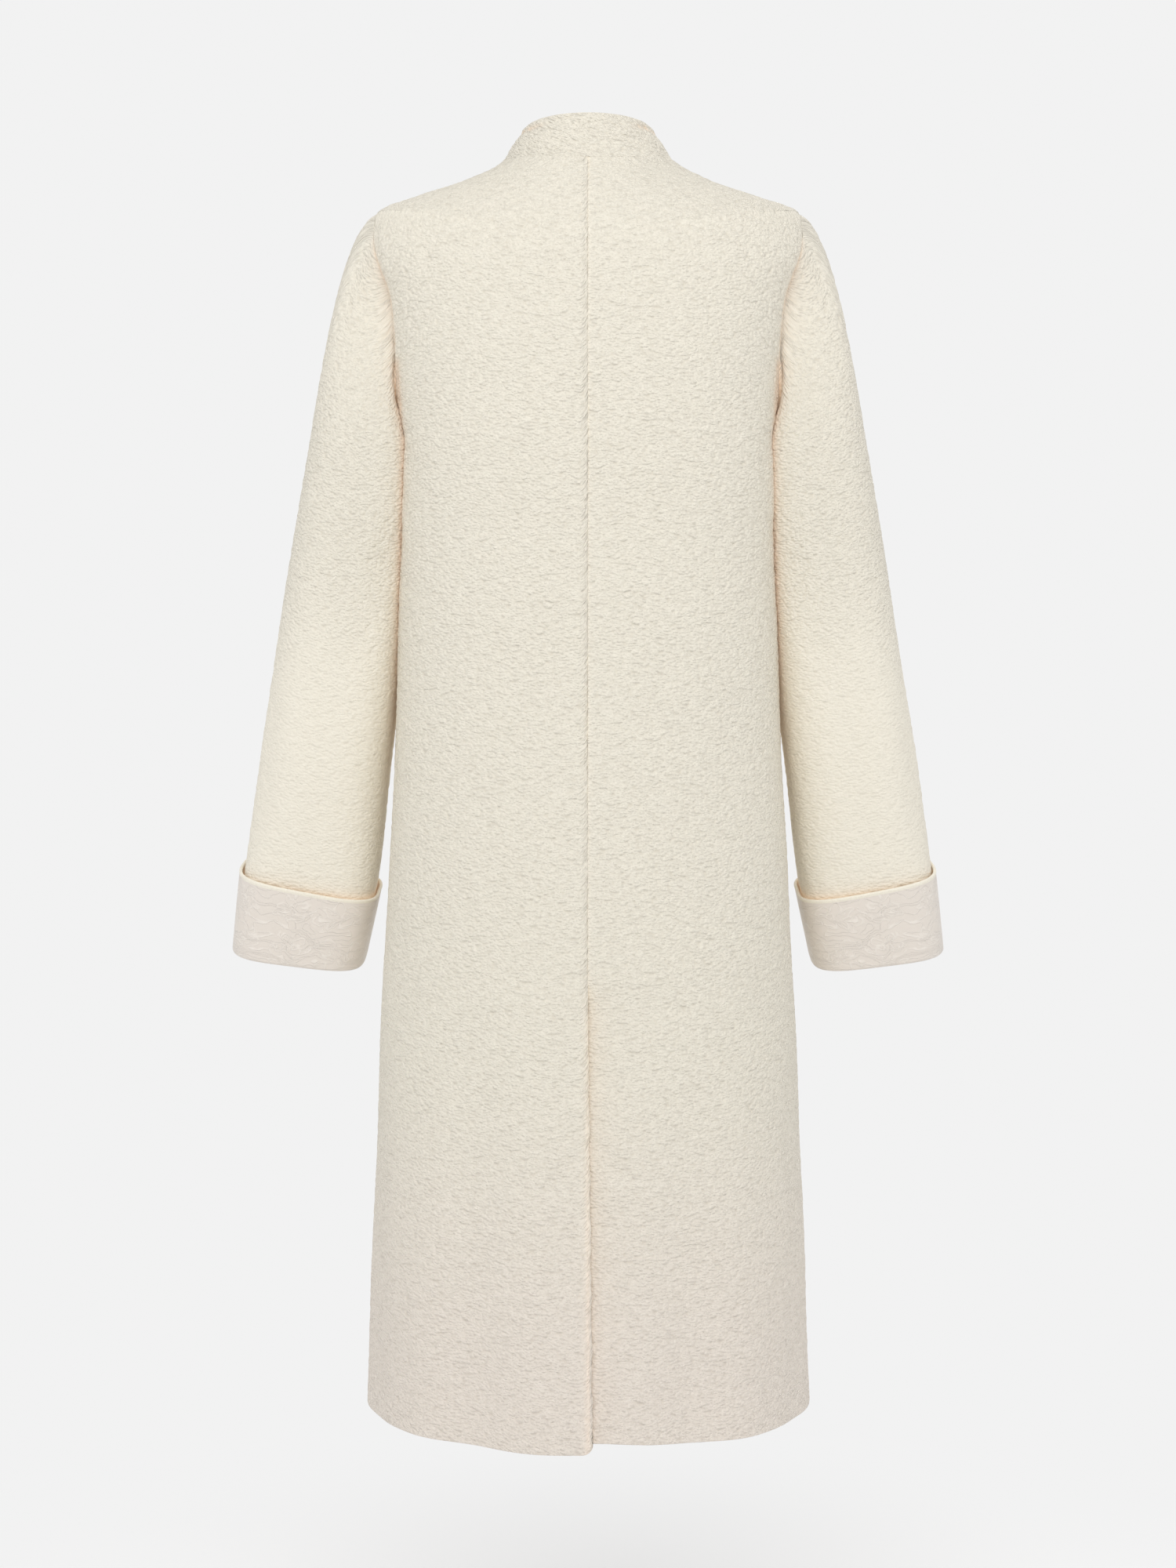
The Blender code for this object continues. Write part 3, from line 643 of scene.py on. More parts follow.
def pebbled(points, normals, u, v, calm, salt, settings):
    """The cloth's face with its curls, and how high each place stands. Calm is 1 at the edges."""
    height = curls(u, v, settings.curl_width / MM, settings.curl_height / MM, 10 * salt)
    lift = settings.curl_rise / MM * (height - 0.5) * (1 - 0.8 * calm)
    return points + normals * lift[..., None], height


# --- panels, collar, sleeves and cuffs --------------------------------------------------------


def body_levels():
    """The levels of a body panel's rows, from the hem to the collar seam."""
    top = NECK_LEVEL - SEAM_GAP / 2
    hem = HEM_LEVEL + EDGE_STEPS
    skirt = np.linspace(hem[-1], UNDERARM_LEVEL, int((UNDERARM_LEVEL - hem[-1]) / ROW_STEP))
    share = np.linspace(0, 1, int(YOKE_LENGTH / ROW_STEP))
    yoke = SHOULDER_LEVEL + (top - 1.0 - SHOULDER_LEVEL) * share
    near_neck = top - 0.4 * EDGE_STEPS[-2::-1]
    return np.concatenate([hem[:-1], skirt[:-1], armhole_levels()[:-1], yoke, near_neck])


def panel_offset(side, girth, level, whole, behind):
    """How far the layers of the vent, or of the front, stand off the body surface."""
    if not behind:
        lap = (CLOTH + LAP_CLEARANCE) * smooth((girth - whole + FRONT_RISE) / FRONT_EASE)
        return lap if side == RIGHT else np.zeros_like(lap)
    depth = smooth((VENT_TOP_LEVEL + VENT_RISE - level) / VENT_OPENING)
    over = (CLOTH + LAP_CLEARANCE) * OVER_SHARE
    if side == LEFT:
        return over * depth * smooth((OVER_WIDTH - girth) / VENT_PARTING)
    under = over - (CLOTH + LAP_CLEARANCE)
    return under * depth * smooth((UNDER_WIDTH - girth) / VENT_PARTING)


def hem_drop(side, girth, level):
    """The left back sags a little towards the vent's edge, and the right back is drawn up."""
    low = smooth((HEM_LEVEL + HEM_EASE - level) / HEM_EASE)
    if side == RIGHT:
        return -HEM_LIFT * low * smooth((HEM_LIFT_WIDTH - girth) / HEM_LIFT_WIDTH)
    return HEM_DROP * low * smooth((HEM_DROP_WIDTH - girth) / HEM_DROP_WIDTH)


def vent_start(side, levels):
    """Where a back starts: at the centre back, or past it on the vent's underlap."""
    if side == LEFT:
        climb = (levels - HEM_LEVEL) / (VENT_TOP_LEVEL - HEM_LEVEL)
        wander = np.sin(levels / 7.3) + 0.7 * np.sin(levels / 3.1 + 1.0)
        return -VENT_SLIP * np.maximum(0, 1 - climb) + VENT_WANDER * wander * smooth(4 * (1 - climb))
    return -VENT_UNDERLAP * np.clip((VENT_TOP_LEVEL - levels) / VENT_SLANT, 0, 1)


def distance_to(points, line):
    """How far each point of a grid lies from a line of points."""
    fine = np.concatenate([line[:-1] + (line[1:] - line[:-1]) * k / 4 for k in range(4)] + [line[-1:]])
    rows = [np.sqrt(((row[:, None] - fine[None]) ** 2).sum(axis=-1)).min(axis=1) for row in points]
    return np.array(rows)


def body_panel(side, behind, settings, materials):
    """A back, from the centre back to the side, or a front, from the side past the centre."""
    levels = body_levels()
    near, far = HalfRings(levels, side), HalfRings(levels, -side)
    edge = panel_edge(near, levels, behind)
    if behind:
        start, end = vent_start(side, levels) + SEAM_GAP / 2, edge - SEAM_GAP / 2
    else:
        start, end = edge + SEAM_GAP / 2, near.whole + FRONT_OVERLAP
    girth = spaced(start, end, COLUMN_STEP)
    level = levels[:, None]
    whole = near.whole[:, None]
    base = on_body(near, far, girth)
    normals = normals_of(base)
    base = base + normals * panel_offset(side, girth, level, whole, behind)[..., None]
    base = base - np.array([0, 0, 1]) * hem_drop(side, girth, level)[..., None]
    if behind and side == LEFT:
        base = round_vent_corner(base, girth - start[:, None], level)
    u, v = arc_map(base)
    u = u + (start[:, None] if behind else FRONT_MAP_END - u[:, -1:])

    to_hem, to_neck = v, v[-1:] - v
    from_start, from_end = girth - start[:, None], end[:, None] - girth
    hole = armhole_loop()[0]
    loop = hole[: ARMHOLE_ROWS + 1] if behind else np.vstack([hole[ARMHOLE_ROWS:], hole[:1]])
    armhole = np.full(base.shape[:2], FAR)
    past = ARMHOLE_MARGIN
    near_rows = (levels > UNDERARM_LEVEL - past) & (levels < SHOULDER_LEVEL + past)
    armhole[near_rows] = distance_to(base[near_rows], loop)
    above = level > SHOULDER_LEVEL
    below = level < UNDERARM_LEVEL
    by_seam = from_end if behind else from_start
    by_centre = from_start if behind else from_end
    seam = np.where(above | below, by_seam, FAR)
    open_centre = (level < VENT_TOP_LEVEL) if behind else np.ones_like(level, bool)

    radius = CLOTH / 2
    high_up = shoulder_ease(armhole_share(level))
    lift = edge_round(to_hem, radius) + seam_roll(to_neck, SEAM_REACH, NECK_SEAM_DEPTH)
    lift = lift + seam_roll(seam, SEAM_REACH, SIDE_SEAM_DEPTH)
    lift = lift + seam_roll(armhole, SEAM_REACH, ARMHOLE_SEAM_DEPTH * (1 - high_up))
    centre_round = np.where(open_centre, edge_round(by_centre, radius), 0)
    lift = lift + centre_round
    lines = [crease[1:] for crease in CREASES if crease.side == side]
    lift = lift + line_height(girth, level, lines)
    lift = lift + UNEVEN_RISE * waves(u, v, UNEVEN_LENGTH, side + 2 * behind)
    to_edge = np.minimum(to_hem, np.where(open_centre, by_centre, FAR))
    to_seam = np.minimum(np.minimum(seam, armhole), np.minimum(to_neck, by_centre + 1.0))
    calm = 1 - np.minimum(smooth(to_edge / CALM_EDGE), smooth(to_seam / CALM_SEAM))
    face = base + normals * lift[..., None]
    face, height = pebbled(face, normals, u, v, calm, 3 + side + 2 * behind, settings)
    # Painted shade, a warmer darker tint, by the armhole seam, where the sleeve touches and beside the
    # vent; painted light, an emission, by the armhole seam, at the vent and along the back seam.
    warm = np.exp(-armhole / SEAM_SHADE_REACH) * (1 - high_up)
    glow = warm**2
    warm = np.maximum(warm, TOUCH_SHADE * np.exp(-outside_sleeve(base) / TOUCH_REACH))
    if behind:
        in_vent = smooth((VENT_TOP_LEVEL + VENT_PAINT_RISE - level) / VENT_PAINT_EASE)
        reach, tint, light = VENT_SHADE_AND_LIGHT[side]
        by_vent = in_vent * np.exp(-np.abs(girth) / reach)
        warm = np.maximum(warm, tint * by_vent)
        reach, seam_light = BACK_SEAM_LIGHT
        by_back_seam = seam_light * np.exp(-np.abs(girth) / reach)
        glow = np.maximum(np.maximum(glow, light * by_vent), by_back_seam)
    back = base - normals * (CLOTH + edge_round(to_hem, radius) + centre_round)[..., None]
    name = f"{'back' if behind else 'front'}_{SIDES[side]}_cloth"
    sheets = mirror_to(side, face), mirror_to(side, back)
    shades = {"curl": height, "warm": warm, "glow": glow}
    return cloth_wall(name, *sheets, u, v, False, side == LEFT, materials, shades)


def round_vent_corner(points, from_edge, level):
    """Rounds the lower corner of the vent's upper layer."""
    radius = VENT_CORNER
    x, z = np.clip(radius - from_edge, 0, radius), np.clip(radius - (level - HEM_LEVEL), 0, radius)
    lift = (radius - np.sqrt(np.maximum(radius**2 - x**2, 0))) * (z / radius)
    return points + np.array([0, 0, 1]) * lift[..., None]


def mirror_to(side, grid):
    return grid if side == LEFT else grid * MIRROR


def collar_piece(settings, materials):
    """The stand collar, from its right end round the back to its left end."""
    bottom = NECK_LEVEL + SEAM_GAP / 2
    levels = spaced(bottom, COLLAR_TOP_LEVEL, COLLAR_ROW_STEP)[0]
    halves = []
    for side in (RIGHT, LEFT):
        near, far = HalfRings(levels, side), HalfRings(levels, -side)
        start, end = np.zeros(len(levels)), near.whole + FRONT_OVERLAP
        girth = spaced(start, end, COLLAR_COLUMN_STEP)[:, len(EDGE_STEPS) - 1 :]
        girth = np.hstack([np.zeros((len(levels), 1)), girth])
        base = on_body(near, far, girth)
        offset = panel_offset(side, girth, levels[:, None], near.whole[:, None], False)
        base = base + normals_of(base) * offset[..., None]
        halves.append(mirror_to(side, base))
    right, left = halves
    base = np.concatenate([right[:, ::-1], left[:, 1:]], axis=1)
    u, v = arc_map(base)
    normals = normals_of(base)
    to_top, to_end = v[-1:] - v, np.minimum(u, u[:, -1:] - u)
    radius = CLOTH / 2
    rounding = edge_round(to_top, radius) + edge_round(to_end, radius)
    lift = rounding + seam_roll(v, SEAM_REACH, NECK_SEAM_DEPTH)
    # The stitched line below the top wanders and dimples, and is almost flat at the centre back.
    wander = COLLAR_STITCH + 0.8 * waves(u, np.zeros_like(u), 46.0, 2)
    dimple = 0.8 + 0.35 * waves(u, np.zeros_like(u), 11.0, 5)
    aside = smooth((np.abs(u - u[:, -1:] / 2) - 36.0) / 16.0)
    lift = lift - (0.15 + 0.85 * aside) * dimple * np.exp(-(((to_top - wander) / 1.6) ** 2))
    lift = lift + (0.2 + 0.5 * aside) * np.exp(-(((to_top - wander / 2) / 3.0) ** 2))
    calm = 1 - smooth(np.minimum(to_top, np.minimum(to_end, v)) / 3)
    face = base + normals * lift[..., None]
    face, height = pebbled(face, normals, u, v, calm, 9, settings)
    back = base - normals * (CLOTH + rounding)[..., None]
    # Painted shade and painted light in the dimples of the stitched line: a warmer darker tint and a
    # faint emission.
    warm = 0.75 * aside * np.clip(dimple, 0, 1) ** 2 * np.exp(-(((to_top - wander) / 2.6) ** 2))
    shades = {"curl": height, "warm": warm, "glow": warm**2}
    return cloth_wall("collar_cloth", face, back, u, v, False, True, materials, shades)


def outside_oval(points, across, back, square, reach):
    """How far points lie outside a squared oval, given their shares of its half sizes."""
    size = (np.abs(across) ** square + np.abs(back) ** square) ** (1 / square)
    below_hole = smooth((UNDERARM_LEVEL + 110 - points[..., 2]) / 50)
    return np.maximum(0, (size - 1) * reach) + FAR * (1 - below_hole)


def outside_sleeve(points):
    """How far the left side's points lie outside the sleeve, which touches the body."""
    section = eased(SLEEVE, "z", np.clip(points[..., 2].ravel(), SLEEVE[-1].z, SLEEVE[0].z))
    section = type(section)(*(column.reshape(points.shape[:-1]) for column in section))
    half_width = (section.outer_x - section.inner_x) / 2
    across = (points[..., 0] - section.inner_x - half_width) / half_width
    back = (points[..., 1] - section.centre_y) / section.half_depth
    return outside_oval(points, across, back, sleeve_square(points[..., 2]), half_width)


def outside_body(points):
    """How far the left sleeve's points lie outside the body's rings."""
    ring = eased(RINGS, "side_z", points[..., 2].ravel())
    ring = type(ring)(*(column.reshape(points.shape[:-1]) for column in ring))
    behind = points[..., 1] > ring.side_y
    depth = np.where(behind, ring.back_y - ring.side_y, ring.side_y - ring.front_y)
    square = np.where(behind, ring.back_square, ring.front_square)
    back = (points[..., 1] - ring.side_y) / depth
    return outside_oval(points, points[..., 0] / ring.half_width, back, square, depth)


def sleeve_frame(z):
    """The centres, outward and backward axes and half sizes of the sleeve's sections."""
    s = eased(SLEEVE, "z", z)
    roll, pitch = np.radians(s.roll), np.radians(s.pitch)
    nil = np.zeros_like(roll)
    centre = np.stack([(s.outer_x + s.inner_x) / 2, s.centre_y, np.atleast_1d(z)], axis=-1)
    outward = np.stack([np.cos(roll), nil, np.sin(roll)], axis=-1)
    backward = np.stack([nil, np.cos(pitch), -np.sin(pitch)], axis=-1)
    return centre, outward, backward, (s.outer_x - s.inner_x) / 2 / np.cos(roll), s.half_depth


def tube_rings(z, turns):
    """The points and normals of sleeve sections at the given angles, 0 being the outer side."""
    centre, outward, backward, half_width, half_depth = sleeve_frame(z)
    c, s = np.cos(turns)[None, :, None], np.sin(turns)[None, :, None]
    outward, backward = outward[:, None], backward[:, None]
    half_width, half_depth = half_width[:, None, None], half_depth[:, None, None]
    square = sleeve_square(centre[:, 2])[:, None, None]
    radius = (np.abs(c) ** square + np.abs(s) ** square) ** (-1 / square)
    points = centre[:, None] + radius * (half_width * c * outward + half_depth * s * backward)
    steep = square - 1
    across, back = np.sign(c) * np.abs(c) ** steep, np.sign(s) * np.abs(s) ** steep
    normals = unit(across / half_width * outward + back / half_depth * backward)
    return points, normals


def sleeve_turns(loop_points):
    """The angle at which each column of the sleeve leaves the armhole, by its share of the loop."""
    steps = np.linalg.norm(np.roll(loop_points, -1, axis=0) - loop_points, axis=1)
    run = np.append(0, np.cumsum(steps))[:-1]
    half = ARMHOLE_ROWS
    behind = run[: half + 1] / run[half] * pi
    before = pi + (run[half + 1 :] - run[half]) / (steps.sum() - run[half]) * pi
    return np.append(behind, before)


def sleeve_piece(side, settings, materials):
    """A sleeve, from the armhole to the cuff."""
    points, body_normals, into, crease, gap = armhole_loop()
    leaving = into * np.cos(crease) - body_normals * np.sin(crease)
    across = into * np.cos(crease / 2) - body_normals * np.sin(crease / 2)
    seam = body_normals * np.cos(crease / 2) + into * np.sin(crease / 2)
    start = points + across * gap
    turns = sleeve_turns(points)
    top, cuff_seam = SLEEVE[0].z, SLEEVE[-1].z + CUFF_TURN + SEAM_GAP
    end, below = tube_rings(np.array([top, top - 10]), turns)[0]
    span = np.linalg.norm(end - start, axis=1, keepdims=True)
    start_way, end_way = leaving * span * CAP_LEAVING, unit(below - end) * span * CAP_ARRIVING
    near_seam = EDGE_STEPS / CAP_LENGTH
    t = np.append(near_seam[:-1], np.linspace(near_seam[-1], 1, CAP_ROWS))
    t = t[:, None, None]
    cap = (
        (1 + 2 * t) * (1 - t) ** 2 * start
        + t * (1 - t) ** 2 * start_way
        + t * t * (3 - 2 * t) * end
        + t * t * (t - 1) * end_way
    )
    heights = np.linspace(top, cuff_seam, int((top - cuff_seam) / ROW_STEP))[1:]
    base = np.concatenate([cap, tube_rings(heights, turns)[0]])[::-1]
    z_of = np.concatenate([top + (1 - t[:, 0, 0]) * CAP_LENGTH, heights])[::-1]
    normals = -normals_of(base, True)
    normals[-1] = seam
    normals = fix_direction(normals, base)
    u, v = arc_map(base)
    to_armhole = v[-1:] - v
    turn = np.degrees(turns)[None, :]
    lines = [
        (row.turn * DEGREE_RUN, row.z, row.to_turn * DEGREE_RUN, row.to_z, row.width, row.rise)
        for row in SLEEVE_CREASES
        if row.side == side
    ]
    lift = line_height(turn * DEGREE_RUN, z_of[:, None], lines)
    open_up = smooth(to_armhole / 14)
    share_up = armhole_share(np.append(armhole_levels()[::-1], armhole_levels()[1:-1]))[None]
    high_up = shoulder_ease(share_up)
    at_back = np.where(np.arange(len(turns)) <= ARMHOLE_ROWS, 1.0, 0.0)
    lift = lift * open_up + seam_roll(to_armhole, SEAM_REACH, ARMHOLE_SEAM_DEPTH * (1 - high_up))
    lift = lift + SLEEVE_UNEVEN_RISE * open_up * round_waves(turns[None, :], z_of[:, None], side)
    folded = smooth((share_up - 0.25) / 0.25) * smooth((0.86 - share_up) / 0.2) * at_back
    lift = lift + folded * seam_roll(to_armhole, SLEEVE_HEAD_REACH, SLEEVE_HEAD_DEPTH)
    calm = 1 - smooth(to_armhole / 5)
    face = base + normals * lift[..., None]
    loop_u = np.abs(turns[None, :] / pi - 1) * u[:, -1:] * 0.5
    face, height = pebbled(face, normals, loop_u, v, calm, 11 + side, settings)
    back = base - normals * CLOTH
    # Painted shade, a warmer darker tint, where the sleeve touches the body, above the cuff, by the
    # armhole seam and in the fold behind it; painted light, an emission, by the seam, above the cuff
    # and on the inner edge.
    beside = np.exp(-outside_body(base) / TOUCH_REACH)
    from_cuff = np.maximum(z_of[:, None] - SLEEVE[-1].z - CUFF_HEIGHT, 0)
    above_cuff = np.exp(-from_cuff / CUFF_SHADE_REACH)
    by_seam = np.exp(-to_armhole / SEAM_SHADE_REACH) * (1 - high_up)
    in_fold = FOLD_SHADE * folded * np.exp(-to_armhole / FOLD_SHADE_REACH)
    warm = np.maximum(np.maximum(by_seam, CUFF_SHADE * above_cuff), TOUCH_SHADE * beside)
    warm = np.maximum(warm, in_fold)
    inner_edge = np.exp(-(((turn - 180) / INNER_TURN) ** 2))
    inner_edge = inner_edge * smooth((z_of[:, None] - INNER_FOOT) / 160)
    inner_edge = inner_edge * smooth((UNDERARM_LEVEL + 20 - z_of[:, None]) / 60)
    soft = SOFT_SHARE * smooth((SOFT_TOP - z_of[:, None]) / 160) * np.ones_like(warm)
    glow = np.maximum((by_seam * (1 - 0.7 * folded)) ** 1.5, above_cuff**2)
    glow = np.maximum(glow, INNER_PAINTED_LIGHT * inner_edge)
    sheets = mirror_to(side, face), mirror_to(side, back)
    shades = {"curl": height, "warm": warm, "glow": glow, "soft": soft}
    name = f"sleeve_{SIDES[side]}_cloth"
    return cloth_wall(name, *sheets, loop_u, v, True, side == RIGHT, materials, shades)


def round_waves(turn, z, side):
    """A gentle unevenness round a sleeve."""
    one = np.sin(2 * turn + z / 55.0 + side) + np.sin(3 * turn - z / 38.0 + 2 * side)
    return (one + np.sin(turn + z / 90.0 + 4 * side)) / 3


def fix_direction(normals, base):
    """Makes the normals of a tube point away from its middle."""
    middle = base.mean(axis=1, keepdims=True)
    outward = ((base - middle) * normals).sum(axis=-1, keepdims=True).sum(axis=1, keepdims=True)
    return normals * np.where(outward > 0, 1.0, -1.0)


def cuff_piece(side, materials):
    """A satin band turned up over the end of the sleeve, with a rolled top edge."""
    half = CUFF_CLOTH / 2
    leg = -CLOTH / 2
    low, high = CUFF_FOOT + half, CUFF_FLARE + half
    bend, middle = (low - leg) / 2, (low + leg) / 2
    foot = bend + half
    arc = np.linspace(pi, 2 * pi, CUFF_STEPS.arc)
    rise = np.linspace(0, 1, CUFF_STEPS.rise)[1:]
    roll = np.linspace(-0.15 * pi, 1.15 * pi, CUFF_STEPS.roll)
    top = CUFF_HEIGHT - ROLL_RADIUS
    neck = top - ROLL_JOIN
    out = [(leg - half, CUFF_TURN), (leg - half, CUFF_TURN - 2.5)]
    out += [(middle + (bend + half) * cos(a), foot + (bend + half) * sin(a)) for a in arc]
    out += [(low + (high - low) * k + half, foot + (neck - foot) * k) for k in rise]
    out += [(high + ROLL_RADIUS * cos(a), top + ROLL_RADIUS * sin(a)) for a in roll]
    back = [(low + (high - low) * k - half, foot + (neck - foot) * k) for k in rise[::-4]]
    back += [(middle + (bend - half) * cos(a), foot + (bend - half) * sin(a)) for a in arc[::-1]]
    back += [(leg + half, CUFF_TURN)]
    profile = np.array(out + back)
    turns = np.linspace(0, 2 * pi, CUFF_COLUMNS, endpoint=False)
    points, normals = tube_rings(SLEEVE[-1].z + profile[:, 1], turns)
    ripple = 0.5 * np.sin(2 * turns + 0.6 * side) + 0.35 * np.sin(5 * turns + 1.3)
    share = np.clip((profile[:, 1] - foot) / (CUFF_HEIGHT - foot), 0, 1)[:, None]
    standing = np.clip(profile[:, :1] - leg, 0, 1)
    away = profile[:, :1] + np.clip(ripple, -0.6, 0.9)[None] * share * standing * (profile[:, :1] > 0)
    above = tube_rings(SLEEVE[-1].z + profile[:, 1] + 1, turns)[0]
    share = np.clip((profile[:, 1] - CUFF_TURN) / (CUFF_HEIGHT - CUFF_TURN), 0, None)[:, None]
    tilt = CUFF_TILT * share * (1 + np.cos(turns))[None] / 2
    grid = points + (above - points) * tilt[..., None] + normals * away[..., None]
    shape = len(profile), CUFF_COLUMNS
    index = np.arange(shape[0] * shape[1]).reshape(shape)
    faces = quads(np.pad(index, (0, 1), "wrap"))
    faces = faces[:, ::-1] if side == RIGHT else faces
    first_roll = 2 + len(arc) + len(rise)
    slots = np.zeros(shape, np.int32)
    slots[first_roll - 1 : first_roll + len(roll)] = 1
    run = np.append(0, np.cumsum(np.linalg.norm(np.diff(profile, axis=0), axis=1)))
    around = turns / (2 * pi) * CUFF_ROUND
    place = np.stack(np.broadcast_arrays(around[None], run[:, None]), axis=-1).reshape(-1, 2)
    name, points = f"cuff_{SIDES[side]}_satin", mirror_to(side, grid).reshape(-1, 3)
    return cloth_object(name, points, faces.tolist(), slots.ravel(), place, materials, CUFF_ROUND)


# --- finishes ---------------------------------------------------------------------------------


def math_node(operation, turned=False):
    """A method that adds one Math node. A turned one takes the other value first."""

    def method(self, *others):
        values = (*others, self) if turned else (self, *others)
        return self.graph.add("ShaderNodeMath", {"operation": operation}, dict(enumerate(values)))

    return method


class Value:
    """A number that varies over a surface. Arithmetic on it adds Math nodes."""

    __add__, __radd__ = math_node("ADD"), math_node("ADD", turned=True)
    __sub__, __rsub__ = math_node("SUBTRACT"), math_node("SUBTRACT", turned=True)
    __mul__, __rmul__ = math_node("MULTIPLY"), math_node("MULTIPLY", turned=True)
    __truediv__, __rtruediv__ = math_node("DIVIDE"), math_node("DIVIDE", turned=True)
    sine, cosine, root = math_node("SINE"), math_node("COSINE"), math_node("SQRT")
    size, whole = math_node("ABSOLUTE"), math_node("FLOOR")
    or_more, angle = math_node("MAXIMUM"), math_node("ARCTAN2")

    def __init__(self, graph, socket):
        self.graph, self.socket = graph, socket

    def rise(self, low, high):
        """0 below low, 1 above high, and smooth between."""
        settings = {"interpolation_type": "SMOOTHSTEP"}
        sockets = {"Value": self, "From Min": low, "From Max": high}
        return self.graph.add("ShaderNodeMapRange", settings, sockets)


class Graph:
    """The nodes of one material."""

    def __init__(self, name):
        self.material = bpy.data.materials.new(name)
        self.material.use_nodes = True
        self.nodes = self.material.node_tree.nodes
        self.links = self.material.node_tree.links
        self.nodes.clear()
        self.output = self.nodes.new("ShaderNodeOutputMaterial")

    def add(self, kind, settings, sockets, result=0):
        """Adds a node, sets it up, then fills its sockets. It gives the named result."""
        node = self.nodes.new(kind)
        for key, value in settings.items():
            setattr(node, key, value)
        for key, value in sockets.items():
            if isinstance(value, Value):
                self.links.new(value.socket, node.inputs[key])
            else:
                node.inputs[key].default_value = value
        return Value(self, node.outputs[result])

    def place(self):
        """The place on the cloth, in metres."""
        return self.add("ShaderNodeUVMap", {"uv_map": "cloth"}, {})

    def shade(self, name):
        """A number that the cloth's mesh gives for each of its points."""
        return self.add("ShaderNodeAttribute", {"attribute_name": name}, {}, "Fac")

    def axis(self, vector, letter):
        return self.add("ShaderNodeSeparateXYZ", {}, {0: vector}, letter)

    def mix(self, share, first, second, blend="MIX"):
        """A colour between two colours, or the first multiplied by the second."""
        settings = {"data_type": "RGBA", "blend_type": blend}
        return self.add("ShaderNodeMix", settings, {0: share, 6: first, 7: second}, 2)

    def vector(self, operation, first, **sockets):
        """Vector Math on a place, with its other value or its scale."""
        rest = {{"by": 1, "scale": 3}[key]: value for key, value in sockets.items()}
        return self.add("ShaderNodeVectorMath", {"operation": operation}, {0: first, **rest})

    def stretched(self, vector, scale):
        """A place with each axis scaled."""
        return self.vector("MULTIPLY", vector, by=scale)

    def moved(self, vector, scale, reach):
        """A place shifted by up to half the reach each way, by a noise of the given scale."""
        sockets = {"Vector": vector, "Scale": scale}
        wander = self.add("ShaderNodeTexNoise", {"noise_dimensions": "2D"}, sockets, "Color")
        centred = self.vector("SUBTRACT", wander, by=(0.5, 0.5, 0.5))
        return self.vector("ADD", vector, by=self.vector("SCALE", centred, scale=reach))

    def pebbles(self, vector, turn, stretch, scale):
        """Rounded pebbles, from about 0 between them to 1 on top."""
        sockets = {"Vector": vector, "Rotation": (0, 0, radians(turn)), "Scale": stretch}
        way = self.add("ShaderNodeMapping", {}, sockets)
        settings = {"feature": "SMOOTH_F1", "voronoi_dimensions": "2D"}
        sockets = {"Vector": way, "Scale": scale, "Smoothness": 0.45, "Randomness": 1.0}
        return 1 - self.add("ShaderNodeTexVoronoi", settings, sockets, "Distance")

    def noise(self, vector, scale, detail=2.0, roughness=0.5):
        sockets = {"Vector": vector, "Scale": scale, "Detail": detail, "Roughness": roughness}
        return self.add("ShaderNodeTexNoise", {"noise_dimensions": "2D"}, sockets)

    def bump(self, height, distance, strength=1.0):
        sockets = {"Height": height, "Distance": distance, "Strength": strength}
        return self.add("ShaderNodeBump", {}, sockets)

    def finish(self, **sockets):
        """Ends the material in a Principled shader. Names have _ for each space."""
        named = {key.replace("_", " "): value for key, value in sockets.items()}
        shader = self.add("ShaderNodeBsdfPrincipled", {}, named)
        self.links.new(shader.socket, self.output.inputs["Surface"])
        return self.material


def wool_finish(colours):
    """Pebbled wool: small round curls with painted shade in the fine gaps between, painted shade and
    painted light in the creases, and a light nap.
    """
    g = Graph("pebbled_wool_cloth")
    place = g.place()
    curl, warm, glow, soft = (g.shade(name) for name in ("curl", "warm", "glow", "soft"))
    moved = g.moved(place, 120.0, 0.0024)
    one, two = (g.pebbles(moved, *layer) for layer in PEBBLE_LAYERS)
    ripple = one.or_more(two) * 0.6 + (one + two) * 0.2
    fibre = g.noise(place, 1700.0, 2.0, 0.7)
    # Painted shade: the gaps between the pebbles and the low places of the curls are darkened, less so
    # where the pile lies flat.
    gaps = 1 - ripple.rise(0.30, 0.62)
    gaps = (gaps * 0.6 + (1 - curl) * 0.25) * (1 - soft)
    shade = g.mix(gaps, tuple(colours.wool), tuple(colours.wool_gap_shade_and_grain))
    # Painted shade: a warmer darker tint in the creases, by seams and where parts touch.
    shade = g.mix(warm, shade, tuple(colours.wool_crease_shade))
    # Painted light: an emission in the creases, by seams, at the vent and on the sleeves' inner edges.
    through = g.mix(glow, (0, 0, 0, 1), tuple(colours.wool_painted_glow))
    level = g.axis(g.add("ShaderNodeTexCoord", {}, {}, "Object"), "Z")
    # Painted shade: darker and pinker towards the hem.
    shade = g.mix(1 - level.rise(*HEM_SHADE_LEVELS), shade, tuple(colours.hem_painted_shade), "MULTIPLY")
    normal = g.bump((ripple + fibre * 0.12) * (1 - soft), 0.0024, 1.0)
    return g.finish(
        Base_Color=shade,
        Roughness=0.93,
        Sheen_Weight=0.2,
        Sheen_Roughness=0.6,
        Sheen_Tint=(1.0, 0.97, 0.92, 1.0),
        Specular_IOR_Level=0.2,
        Emission_Color=through,
        Emission_Strength=1.0,
        Normal=normal,
    )


